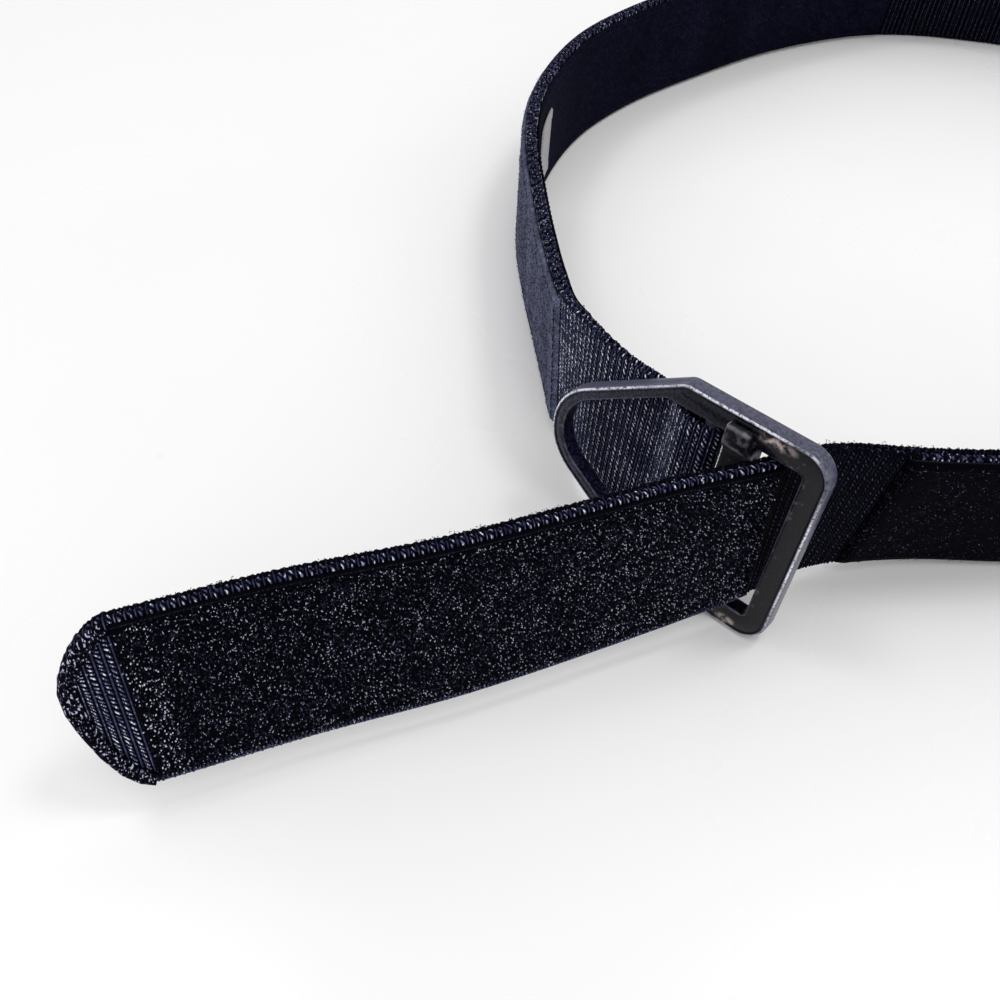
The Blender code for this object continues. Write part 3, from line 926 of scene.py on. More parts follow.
@dataclass
class RibbedWebbing:
    """The webbing: thin ridges across it, with a row of slanted beads between each two."""

    courses: BeltCourses
    finishes: Finishes
    width: float = 44.5 * MM
    core: float = 1.1 * MM
    rib_pitch: float = 2.15 * MM
    rib_height: float = 0.5 * MM
    bead_pitch: float = 1.3 * MM
    ridge_share: float = 0.7
    bead_slant: float = 0.55
    edge_steps: int = 5
    close_step: tuple[float, float] = (0.24 * MM, 0.34 * MM)
    edge_step: tuple[float, float] = (0.3 * MM, 12.0 * MM)
    far_step: tuple[float, float] = (0.5 * MM, 2.4 * MM)
    hidden_step: tuple[float, float] = (0.6 * MM, 12.0 * MM)

    def relief(self, along: np.ndarray, round_section: np.ndarray, beaded: bool) -> np.ndarray:
        """Return the height of the weave.

        Args:
            along: Length along the webbing's line.
            round_section: Length round the webbing's section.
            beaded: Whether the mesh is fine enough for the beads.

        Returns:
            Height in shares of the rib height.
        """
        part = (along / self.rib_pitch) % 1.0
        ridge = np.exp(-((np.minimum(part, 1 - part)) / 0.11) ** 2) * self.ridge_share
        from_cord = (part - 0.5) / 0.3
        cord = np.sqrt(np.maximum(0.0, 1 - from_cord**2))
        if not beaded:
            return np.maximum(ridge, cord**2 * 0.8)
        wander = 0.2 * np.sin(along * 900 + round_section * 310) + 0.15 * np.sin(round_section * 1330)
        phase = round_section / self.bead_pitch + self.bead_slant * from_cord + wander
        beads = 0.5 + 0.5 * np.cos(TAU * phase)
        return np.maximum(ridge, cord * (0.12 + 0.88 * beads**1.3))

    def section(self, face_step: float, shown: bool) -> tuple[np.ndarray, ...]:
        """Return the closed section of a ply, from its lower edge up its open face and back.

        Args:
            face_step: Spacing of points across the open face.
            shown: Whether the open face shows its ribs.

        Returns:
            Height up, distance proud, their outward directions, length round and rib share.
        """
        rim = self.core / 2
        half = self.width / 2 - rim - self.rib_height / 2
        columns = 2 * max(2, round(half / face_step))
        parts = []
        for side, count in ((1, columns), (-1, 4)):
            up = np.linspace(-half, half, count + 1) * side
            full = shown and side > 0
            share = np.ones(count + 1) if full else smoothstep(half - 2 * MM, half, np.abs(up))
            parts.append((up, np.full(count + 1, rim * side), np.zeros(count + 1),
                          np.full(count + 1, float(side)), share))
            angle = np.linspace(0.0, math.pi, self.edge_steps + 2)[1:-1]
            rise = np.sin(angle) * side
            face = np.cos(angle) * side
            parts.append((half * side + rim * rise, rim * face, rise, face, np.ones(len(angle))))
        up, proud, up_way, out_way, share = (np.concatenate(column) for column in zip(*parts))
        steps = np.hypot(np.diff(up), np.diff(proud))
        return up, proud, up_way, out_way, np.concatenate(([0.0], np.cumsum(steps))), share

    def stretch(self, name: str, start: float, end: float, steps: tuple[float, float],
                shown: bool, shaded: bool = False) -> bpy.types.Object:
        """Make the webbing between two lengths along its line.

        Args:
            name: Name of the piece.
            start: Where it starts.
            end: Where it ends.
            steps: Spacing of points along it and across its open face.
            shown: Whether the open face shows.
            shaded: Whether it takes the darker copy of the finish, as painted shade.

        Returns:
            The piece.
        """
        rows = np.linspace(start, end, round((end - start) / steps[0]) + 1)[:, None]
        up, proud, up_way, out_way, length, share = self.section(steps[1], shown)
        relief = self.relief(rows, length[None], steps is not self.far_step) * share
        lift = relief * self.rib_height
        upper, lower = TIP.edges(np.minimum(rows, self.courses.webbing.length - rows))
        height = (upper + lower) / 2 + up[None] * (upper - lower) / self.width
        points = self.courses.webbing.points(rows, height + lift * up_way, proud + lift * out_way)
        uv = np.stack(np.broadcast_arrays(rows, length[None]), axis=-1).reshape(-1, 2)
        faces = np.vstack((grid_faces(len(rows), len(up), True)[:, ::-1],
                           cap_faces(len(rows), len(up))))
        # Shade follows the relief: painted highlight on ridge and bead tops, painted shade in the gaps.
        patchy = 0.65 + 0.35 * hash_noise(rows, length[None], 0.45 * MM, 51)
        at_rim = np.abs(up_way)[None]
        shade = relief * (1 - at_rim * (1 - patchy))
        mesh = make_mesh(name, points.reshape(-1, 3), faces, uv, shade.ravel())
        finish = self.finishes.shaded if shaded else self.finishes.webbing
        return add_piece(name, mesh, finish.build(), Slot.WEBBING, "webbing")

    def build(self) -> None:
        """Make the whole webbing, finer where the camera is close."""
        courses = self.courses
        length = courses.webbing.length
        pile_start = courses.on_ply(Ply.OUTER, courses.station("start of the pile tape"))
        pile_end = courses.on_ply(Ply.OUTER, courses.station("end of the pile tape"))
        lining = courses.on_ply(Ply.INNER, courses.station("start of the lining"))
        slot = courses.on_ply(Ply.INNER, courses.station("in the slot"))
        tape_start, tape_end = HOOK_WINDOW
        cover = 3 * MM
        self.stretch("webbing_tip", 0.0, tape_start, self.close_step, True)
        self.stretch("webbing_free_end", tape_start, tape_end, self.edge_step, False)
        # By the end bar and on the loop's inner face the webbing takes the darker copy: painted shade.
        self.stretch("webbing_at_slot", tape_end, pile_start + cover, self.close_step, True, True)
        self.stretch("webbing_waist", pile_start + cover, pile_end - cover, self.hidden_step, False)
        self.stretch("webbing_fold", pile_end - cover, courses.fold_end + cover, self.close_step, True)
        self.stretch("webbing_lined", courses.fold_end + cover, lining - cover, self.hidden_step, False)
        self.stretch("webbing_inside", lining - cover, slot, self.far_step, True, True)
        self.stretch("webbing_back", slot, length, self.far_step, True, True)


@dataclass
class Tape:
    """A tape sewn on the belt: a thin slab with one open face whose surface has a relief."""

    courses: BeltCourses
    finish: YarnFinish
    name: str
    slot: Slot
    node: str
    offset: float
    width: float
    thickness: float
    start: float
    end: float
    along_step: float = 1.0 * MM
    across_step: float = 1.0 * MM
    side: int = 1
    end_taper: float = 0.4 * MM

    def relief(self, along: np.ndarray, up: np.ndarray) -> Arrays:
        """Return the height of the open face and its shade.

        Args:
            along: Length along the belt's middle line.
            up: Distance from the tape's middle toward its upper edge.

        Returns:
            Height in metres and shade from 0 to 1.
        """
        raise NotImplementedError

    def build(self) -> bpy.types.Object:
        """Make the slab and return it."""
        along = np.linspace(self.start, self.end, round((self.end - self.start) / self.along_step) + 1)
        columns = 2 * round(self.width / self.across_step / 2)
        up = np.linspace(-self.width / 2, self.width / 2, columns)
        height, shade = self.relief(along[:, None], up[None])
        from_edge = self.width / 2 - np.abs(up)
        from_end = np.minimum(along - self.start, self.end - along)[:, None]
        inside = np.minimum(from_edge[None], from_end)
        swell = np.sqrt(np.clip(inside / (0.5 * MM), 0.0, 1.0))
        front = (self.thickness / 2 + height) * (0.3 + 0.7 * swell)
        drop = 1 - smoothstep(0.0, self.end_taper, from_end)
        front = front * (1 - drop) - (self.thickness / 2 - 0.1 * MM) * drop
        back_up = np.array([self.width / 2, self.width / 6, -self.width / 6, -self.width / 2])
        back = np.full((len(along), len(back_up)), -self.thickness / 2)
        all_up = np.concatenate((up, back_up))
        proud = self.offset + self.side * np.hstack((front, back))
        points = self.courses.middle.points(along[:, None], all_up[None], proud)
        uv = np.stack(np.broadcast_arrays(along[:, None], all_up[None]), axis=-1).reshape(-1, 2)
        full = np.hstack((shade, np.full(back.shape, 0.3)))
        faces = np.vstack((grid_faces(len(along), len(all_up), True)[:, ::-1],
                           cap_faces(len(along), len(all_up))))
        if self.side < 0:
            faces = faces[:, ::-1]
        mesh = make_mesh(self.name, points.reshape(-1, 3), faces, uv, full.ravel())
        return add_piece(self.name, mesh, self.finish.build(), self.slot, self.node)


def hash_noise(along: np.ndarray, up: np.ndarray, cell: float, seed: int) -> np.ndarray:
    """Return smooth noise from 0 to 1 over the strap.

    Args:
        along: Length along the strap.
        up: Height across it.
        cell: Size of a cell of the noise.
        seed: Number that picks the noise.

    Returns:
        Values in the shape of the inputs.
    """
    x, y = np.broadcast_arrays(along / cell, up / cell + 1000.0)
    left, low = np.floor(x).astype(int), np.floor(y).astype(int)
    table = np.random.default_rng(seed).random((1024, 1024))
    u, v = smoothstep(0, 1, x - left), smoothstep(0, 1, y - low)
    corner = [table[(left + i) % 1024, (low + j) % 1024] for i in (0, 1) for j in (0, 1)]
    return ((corner[0] * (1 - v) + corner[1] * v) * (1 - u)
            + (corner[2] * (1 - v) + corner[3] * v) * u)


@dataclass
class SelvedgeTape(Tape):
    """A tape with woven edges: small ridges across a narrow band at both long edges."""

    band: float = 2.0 * MM
    ridge_pitch: float = 0.95 * MM
    ridge_height: float = 0.16 * MM
    cord_place: float = 0.35 * MM
    field_shade: float = 0.5

    def relief(self, along: np.ndarray, up: np.ndarray) -> Arrays:
        """Return ridges in the edge bands, a cord on the rim and a rough field between.

        Args:
            along: Length along the belt's middle line.
            up: Distance from the tape's middle toward its upper edge.

        Returns:
            Height in metres and shade from 0 to 1.
        """
        inside = self.width / 2 - np.abs(up)
        in_band = 1 - smoothstep(self.band - 0.3 * MM, self.band, inside)
        ridge = 0.5 + 0.5 * np.cos(TAU * along / self.ridge_pitch + 0.8 * np.sin(up * 4000))
        cord = np.exp(-((inside - self.cord_place) / (0.2 * MM)) ** 2)
        groove = np.exp(-((inside - self.band) / (0.25 * MM)) ** 2)
        rough = hash_noise(along, up, 0.6 * MM, 3)
        height = (in_band * (0.4 + 0.6 * ridge) * self.ridge_height + cord * 0.14 * MM
                  - groove * 0.1 * MM + (1 - in_band) * rough * 0.12 * MM)
        lower = np.where(up < 0, 1.0, 0.15)
        # Painted highlight on the ridges of the bands, painted shade in the groove inside each band.
        field = (1 - in_band) * rough * self.field_shade
        shade = in_band * (0.15 + 0.6 * ridge) * lower + cord * 0.7 + field
        return height, np.clip(shade - groove * 0.3, 0.0, 1.0)


class Fibres:
    """Small bent fibres made as one piece. Each kind says where they stand and how they lie."""

    finish: YarnFinish
    height: float
    reach: float
    radius: float
    steps: int

    @property
    def corners(self) -> int:
        """Return the number of vertices of one fibre."""
        return (self.steps + 1) * 3

    def plant(self, name: str, slot: Slot, node: str, base: np.ndarray, stand: np.ndarray,
              lie: np.ndarray, size: np.ndarray, place: Arrays, shade: np.ndarray
              ) -> bpy.types.Object:
        """Make the fibres.

        Args:
            name: Name of the piece.
            slot: Its material slot.
            node: The CAD node that it replaces.
            base: Where each fibre starts.
            stand: Direction that it stands in.
            lie: Direction that it bends over to.
            size: Its share of the full height and reach.
            place: Its two flat coordinates.
            shade: Shade of every vertex.

        Returns:
            The piece.
        """
        lie = unit(lie - stand * np.sum(lie * stand, axis=1, keepdims=True))
        points, faces = curls(base, stand, lie, self.height * size, self.reach * size, self.radius,
                              self.steps)
        uv = np.repeat(np.stack(place, axis=1), self.corners, axis=0)
        mesh = make_mesh(name, points, faces, uv, shade)
        return add_piece(name, mesh, self.finish.build(), slot, node)


@dataclass
class FibreField(Fibres):
    """Many small bent fibres that stand on a tape."""

    courses: BeltCourses
    finish: YarnFinish
    name: str
    slot: Slot
    node: str
    proud: float
    half_width: float
    start: float
    end: float
    pitch: float
    height: float
    reach: float
    radius: float
    seed: int = 1
    steps: int = 3
    contrast: float = 3.0
    base_shade: float = 0.06
    wander: float = 0.35
    upright: float = 0.25
    clusters: float = 0.3

    def build(self) -> bpy.types.Object:
        """Plant the fibres and return them as one piece."""
        rng = np.random.default_rng(self.seed)
        rows = np.arange(self.start, self.end, self.pitch)
        columns = np.arange(-self.half_width, self.half_width, self.pitch)
        along, up = (grid.ravel() for grid in np.meshgrid(rows, columns, indexing="ij"))
        along = along + rng.normal(0.0, self.wander * self.pitch, along.size)
        up = up + rng.normal(0.0, self.wander * self.pitch, up.size)
        back_upper, back_lower = TIP.edges(along)
        keep = (np.abs(up) < self.half_width) & (up < back_upper - 2 * MM) & (up > back_lower + 2 * MM)
        keep &= rng.random(along.size) > self.clusters * hash_noise(along, up, 2.5 * MM, self.seed)
        along, up = along[keep], up[keep]
        count = along.size
        base = self.courses.middle.points(along, up, np.full(count, self.proud))
        _, across, out = self.courses.middle.at(along)
        ahead = np.cross(across, out)
        turn = rng.uniform(0.0, TAU, count)[:, None]
        lie = np.cos(turn) * ahead + np.sin(turn) * across
        stand = unit(out + rng.normal(0.0, self.upright, (count, 1)) * across
                     + rng.normal(0.0, self.upright, (count, 1)) * ahead)
        size = rng.uniform(0.7, 1.25, count)
        # Painted glints: a few fibres at random are drawn far lighter, and each is lighter over its
        # crown.
        shade = np.clip(self.base_shade + rng.random(count) ** self.contrast, 0.0, 1.0)
        tip = np.tile(np.repeat(np.sin(np.linspace(0.0, math.pi, self.steps + 1)), 3), count)
        return self.plant(self.name, self.slot, self.node, base, stand, lie, size, (along, up),
                          np.repeat(shade, self.corners) * (0.35 + 0.65 * tip))


@dataclass
class EdgeLoops(Fibres):
    """Small loose loops and lint along the upper edge of the webbing."""

    courses: BeltCourses
    finish: YarnFinish
    pitch: float = 0.3 * MM
    edge: float = 21.9 * MM
    spread: float = 1.9 * MM
    height: float = 0.45 * MM
    reach: float = 0.6 * MM
    radius: float = 0.08 * MM
    upright: float = 0.35
    steps: int = 3
    seed: int = 61

    def build(self) -> bpy.types.Object:
        """Plant the loops on the stretches near the camera and return them as one piece."""
        rng = np.random.default_rng(self.seed)
        station = self.courses.station
        spans = ((13 * MM, station("start of the pile tape") + 70 * MM),
                 (station("left front"), station("before the nose")))
        along = np.concatenate([np.arange(first, last, self.pitch) for first, last in spans])
        along = along + rng.normal(0.0, self.pitch, along.size)
        count = along.size
        tangle = hash_noise(along, along * 0, 9 * MM, self.seed)
        proud = rng.uniform(-self.spread, self.spread, count)
        base = self.courses.middle.points(along, np.full(count, self.edge), proud)
        _, across, out = self.courses.middle.at(along)
        ahead = np.cross(across, out)
        stand = unit(across + rng.normal(0.0, self.upright, (count, 1)) * ahead
                     + rng.normal(0.0, self.upright, (count, 1)) * out)
        turn = rng.uniform(0.0, TAU, count)[:, None]
        lie = np.cos(turn) * ahead + np.sin(turn) * out
        size = rng.uniform(0.4, 1.0, count) * (0.5 + 1.6 * tangle**2)
        shade = np.repeat(0.7 * rng.random(count), self.corners)
        return self.plant("webbing_edge_loops", Slot.WEBBING, "webbing", base, stand, lie, size,
                          (along, proud), shade)


@dataclass
class HookFastener:
    """Hook tape on the free end: a woven tape with a field of nylon hooks."""

    courses: BeltCourses
    finishes: Finishes
    start: float = 13.6 * MM
    end: float = 160.0 * MM
    width: float = 42.0 * MM
    thickness: float = 1.0 * MM
    offset: float = 2.45 * MM
    edge_band: float = 0.9 * MM

    def build(self) -> None:
        """Make the tape and its hooks."""
        base = SelvedgeTape(self.courses, self.finishes.selvedge, "hook_tape_base", Slot.HOOK,
                            "hook_tape", self.offset, self.width, self.thickness - 0.2 * MM,
                            self.start, self.end, along_step=0.3 * MM, across_step=0.5 * MM)
        base.build()
        field_half = self.width / 2 - self.edge_band
        proud = self.offset + self.thickness / 2 - 0.15 * MM
        hooks = FibreField(self.courses, self.finishes.hook, "hook_tape_hooks", Slot.HOOK, "hook_tape",
                           proud, field_half, self.start + 1.5 * MM, self.end - 1 * MM,
                           pitch=0.59 * MM, height=0.5 * MM, reach=0.55 * MM, radius=0.075 * MM,
                           seed=11, steps=2, clusters=0.12, contrast=2.0, base_shade=0.01)
        hooks.build()
        # Large hooks drawn light where the field starts: painted glints.
        loose = FibreField(self.courses, self.finishes.hook, "hook_tape_end_hooks", Slot.HOOK,
                           "hook_tape", proud, field_half, self.start + 0.8 * MM, self.start + 7 * MM,
                           pitch=1.1 * MM, height=0.6 * MM, reach=0.35 * MM, radius=0.17 * MM,
                           seed=12, clusters=0.9, contrast=1.0, base_shade=0.5)
        loose.build()


@dataclass
class PileTape(Tape):
    """Fuzzy loop tape round the outside of the waist."""

    end_taper: float = 2.0 * MM

    def relief(self, along: np.ndarray, up: np.ndarray) -> Arrays:
        """Return tufts of pile over a soft waviness, and a painted sheen near its end.

        Args:
            along: Length along the belt's middle line.
            up: Distance from the tape's middle toward its upper edge.

        Returns:
            Height in metres and shade from 0 to 1.
        """
        tuft = hash_noise(along, up, 1.1 * MM, 5)
        fine = hash_noise(along, up, 0.5 * MM, 6)
        wave = hash_noise(along, up * 0.2, 9 * MM, 7)
        height = (0.3 * tuft + 0.2 * fine + 0.25 * wave) * MM
        # Painted sheen: the pile is drawn lighter over its last stretch before the end.
        wear_and_sheen = smoothstep(self.end - 190 * MM, self.end - 120 * MM, along)
        return height, (0.1 + 0.7 * wear_and_sheen) * (0.4 + 0.9 * tuft * fine + 0.4 * wave)


@dataclass
class PileFastener:
    """Pile tape with its standing fibres."""

    courses: BeltCourses
    finishes: Finishes
    width: float = 42.5 * MM
    thickness: float = 1.0 * MM
    offset: float = 2.45 * MM

    def build(self) -> None:
        """Make the tape, and fibres that are closer together near the camera."""
        start = self.courses.station("start of the pile tape")
        end = self.courses.station("end of the pile tape")
        PileTape(self.courses, self.finishes.pile, "pile_tape_base", Slot.PILE, "pile_tape",
                 self.offset, self.width, self.thickness, start, end,
                 along_step=1.1 * MM, across_step=1.1 * MM).build()
        proud = self.offset + self.thickness / 2
        near = start + 75 * MM
        far = end - 120 * MM
        spans = (("pile_near", start, near, 0.95 * MM), ("pile_round", near, far, 4.2 * MM),
                 ("pile_left", far, end, 1.15 * MM))
        for number, (name, first, last, pitch) in enumerate(spans):
            FibreField(self.courses, self.finishes.pile, name, Slot.PILE, "pile_tape", proud,
                       self.width / 2 - CLEARANCE, first, last, pitch=pitch, height=0.7 * MM,
                       reach=0.9 * MM, radius=0.06 * MM, seed=21 + number, steps=2, contrast=1.5,
                       upright=0.5, wander=0.5).build()


@dataclass
class LiningTape(Tape):
    """Smooth tape along the inside, slightly puckered."""

    def relief(self, along: np.ndarray, up: np.ndarray) -> Arrays:
        """Return faint creases and a fine nap."""
        crease = hash_noise(along, up * 0.4, 12 * MM, 31)
        nap = hash_noise(along, up, 1.2 * MM, 32)
        return (0.25 * crease + 0.08 * nap) * MM, 0.3 + 0.4 * nap + 0.3 * crease


@dataclass
class LabelStrip(Tape):
    """Blank label with turned and stitched ends."""

    def relief(self, along: np.ndarray, up: np.ndarray) -> Arrays:
        """Return a fine weave and a thicker turning at each end."""
        weave = 0.5 + 0.25 * np.cos(TAU * up / (0.5 * MM)) * np.cos(TAU * along / (0.5 * MM))
        turned = smoothstep(self.width / 2 - 4 * MM, self.width / 2 - 3.4 * MM, np.abs(up))
        return (0.04 * weave + 0.18 * turned) * MM, weave + 0.1 * turned


@dataclass
class TipBinding:
    """Narrow band round the edge of the pointed tip."""

    courses: BeltCourses
    finish: YarnFinish
    clearance: float = CLEARANCE
    band_width: float = 3.6 * MM
    thickness: float = 0.8 * MM
    offset: float = 2.35 * MM
    stop: float = 13.3 * MM
    dome: float = 0.35 * MM
    columns: int = 20
    step: float = 0.2 * MM

    def edges(self) -> Arrays:
        """Return the outer and the inner edge of the band, as back and up."""
        upper = list(zip(TIP.back_mm, TIP.upper_mm))[::-1]
        lower = list(zip(TIP.back_mm, TIP.lower_mm))
        outline = np.array(upper + lower) * MM
        ahead = unit(np.gradient(outline, axis=0))
        inward = np.stack((-ahead[:, 1], ahead[:, 0]), axis=1)
        outer = outline + inward * self.clearance
        inner = outline + inward * (self.clearance + self.band_width)
        inner[:, 0] = np.minimum(inner[:, 0], self.stop)
        run = np.concatenate(([0.0], np.cumsum(np.linalg.norm(np.diff(outline, axis=0), axis=1))))
        even = np.linspace(0.0, run[-1], round(run[-1] / self.step) + 1)
        return tuple(np.stack([np.interp(even, run, c) for c in edge.T], axis=1)
                     for edge in (outer, inner))

    def build(self) -> None:
        """Make the band with a rounded, rough face."""
        outer, inner = self.edges()
        share = np.linspace(0.0, 1.0, self.columns)
        face = outer[:, None] * (1 - share[None, :, None]) + inner[:, None] * share[None, :, None]
        rough = hash_noise(face[..., 0], face[..., 1], 0.4 * MM, 41)
        beads = 0.5 + 0.5 * np.cos(TAU * np.arange(len(outer))[:, None] * self.step / (0.9 * MM))
        seam = np.exp(-((share - 0.8) / 0.07) ** 2)[None]
        dome = np.sqrt(np.maximum(0.0, 1 - (2 * share - 1) ** 4))[None]
        sunk = 0.25 * MM * seam * beads
        height = self.thickness / 2 * dome + self.dome * dome * (0.4 + 0.6 * rough) - sunk
        below = np.full((len(outer), 2), -self.thickness / 2)
        back = np.concatenate((face[:, -1:], face[:, :1]), axis=1)
        flat = np.concatenate((face, back), axis=1)
        proud = self.offset + np.hstack((height, below))
        points = self.courses.middle.points(flat[..., 0], flat[..., 1], proud)
        shade = np.hstack((np.clip(rough * 1.2 + 0.2 * beads * (share < 0.15), 0, 1), below * 0 + 0.1))
        faces = np.vstack((grid_faces(len(outer), self.columns + 2, True),
                           cap_faces(len(outer), self.columns + 2)[:, ::-1]))
        mesh = make_mesh("tip_band", points.reshape(-1, 3), faces, flat.reshape(-1, 2), shade.ravel())
        add_piece("tip_band", mesh, self.finish.build(), Slot.WEBBING, "tip_binding")


@dataclass
class StitchRow:
    """A row of sewn stitches, each a short raised thread whose ends sink in."""

    courses: BeltCourses
    long: float = 2.4 * MM
    gap: float = 0.5 * MM
    radius: float = 0.16 * MM
    sides: int = 4
    rings: int = 4

    def thread(self, path: np.ndarray, out: np.ndarray) -> Arrays:
        """Turn a path on a surface into stitches.

        Args:
            path: Places along the row at even steps of a stitch and a gap.
            out: Direction out of the surface at each place.

        Returns:
            Vertices and faces.
        """
        first, last = path[:-1], path[1:]
        away = unit(last - first)
        side = np.cross(away, out[:-1])
        share = self.long / (self.long + self.gap)
        turn = np.linspace(0.0, math.pi, self.rings)
        spots = (1 - np.cos(turn)) / 2 * share
        thick = self.radius * (0.35 + 0.65 * np.sin(turn))
        lift = self.radius * (1.3 * np.sin(turn) - 0.5)
        spine = first[:, None] + (last - first)[:, None] * spots[None, :, None]
        spine = spine + out[:-1][:, None] * lift[None, :, None]
        angle = TAU * np.arange(self.sides) / self.sides
        ring = (np.cos(angle)[None, None, :, None] * side[:, None, None]
                + np.sin(angle)[None, None, :, None] * out[:-1][:, None, None])
        points = spine[:, :, None] + ring * thick[None, :, None, None]
        faces = grid_faces(self.rings, self.sides, True)
        every = faces[None] + (np.arange(len(first)) * self.rings * self.sides)[:, None, None]
        return points.reshape(-1, 3), every.reshape(-1, 4)

    def lay(self, along: np.ndarray, up: np.ndarray | float, proud: float) -> Arrays:
        """Sew through a row of places on the belt.

        Args:
            along: Length of each along the middle line.
            up: Height of each.
            proud: How far out of the middle line the surface is.

        Returns:
            Vertices and faces.
        """
        middle = self.courses.middle
        sign = math.copysign(1.0, proud)
        return self.thread(middle.points(along, up, proud), middle.at(along)[2] * sign)

    def along_belt(self, start: float, end: float, up: float, proud: float) -> Arrays:
        """Sew along the belt at one height.

        Args:
            start: Where the row starts, along the middle line.
            end: Where it ends.
            up: Height of the row.
            proud: How far out of the middle line the surface is.

        Returns:
            Vertices and faces.
        """
        return self.lay(np.arange(start, end, self.long + self.gap), up, proud)

    def across_belt(self, along: float, half: float, proud: float) -> Arrays:
        """Sew across the belt at one length.

        Args:
            along: Length along the middle line.
            half: How far up and down from the middle the row reaches.
            proud: How far out of the middle line the surface is.

        Returns:
            Vertices and faces.
        """
        ups = np.arange(-half, half, self.long + self.gap)
        return self.lay(np.full(ups.size, along), ups, proud)


def join(parts: list[Arrays]) -> Arrays:
    """Join several pieces of mesh into one."""
    points = np.vstack([part[0] for part in parts])
    starts = np.cumsum([0] + [len(part[0]) for part in parts[:-1]])
    return points, np.vstack([part[1] + start for part, start in zip(parts, starts)])


@dataclass
class Sewing:
    """All the rows of stitches on the belt."""

    courses: BeltCourses
    finishes: Finishes

    def build(self) -> None:
        """Sew each tape down."""
        row = StitchRow(self.courses)
        station = self.courses.station
        hook_face, pile_face, lining_face = 3.05 * MM, 3.3 * MM, -3.1 * MM
        hook = [row.along_belt(*HOOK_WINDOW, up, hook_face) for up in (-18.6 * MM, 18.6 * MM)]
        hook += [row.across_belt(at, 19 * MM, hook_face) for at in (16.0 * MM, 158.5 * MM)]
        pile_start, pile_end = station("start of the pile tape"), station("end of the pile tape")
        pile = [row.along_belt(pile_start + 1 * MM, pile_end - 1 * MM, up, pile_face)
                for up in (-19 * MM, 19 * MM)]
        pile += [row.across_belt(at, 19 * MM, pile_face)
                 for at in (pile_start + 1.5 * MM, pile_end - 1.5 * MM)]
        lining_start = station("start of the lining")
        lining_end = station("before the nose")
        lining = [row.along_belt(lining_start, lining_end, up, lining_face)
                  for up in (-18.8 * MM, 18.8 * MM)]
        for name, parts, slot, node in (("hook_tape_stitches", hook, Slot.HOOK, "hook_tape"),
                                        ("pile_tape_stitches", pile, Slot.PILE, "pile_tape"),
                                        ("lining_stitches", lining, Slot.LINING, "lining_tape")):
            points, faces = join(parts)
            mesh = make_mesh(name, points, faces, points[:, :2], np.full(len(points), 0.5))
            add_piece(name, mesh, self.finishes.thread.build(), slot, node)


def rounded_outline(corners: tuple[Triple, ...], segments: int) -> np.ndarray:
    """Return a closed outline whose corners are arcs.

    Args:
        corners: x, y and radius of each corner.
        segments: Steps in each arc.

    Returns:
        Points, one a row.
    """
    points = []
    for i, (x, y, radius) in enumerate(corners):
        corner = Vector((x, y))
        before = (Vector(corners[i - 1][:2]) - corner).normalized()
        after = (Vector(corners[(i + 1) % len(corners)][:2]) - corner).normalized()
        half = before.angle(after) / 2
        middle = corner + (before + after).normalized() * radius / math.sin(half)
        start = corner + before * radius / math.tan(half) - middle
        turn = start.angle_signed(corner + after * radius / math.tan(half) - middle)
        for k in range(segments + 1):
            spoke = start.copy()
            spoke.rotate(Matrix.Rotation(-turn * k / segments, 2))
            points.append(tuple(middle + spoke))
    return np.array(points)


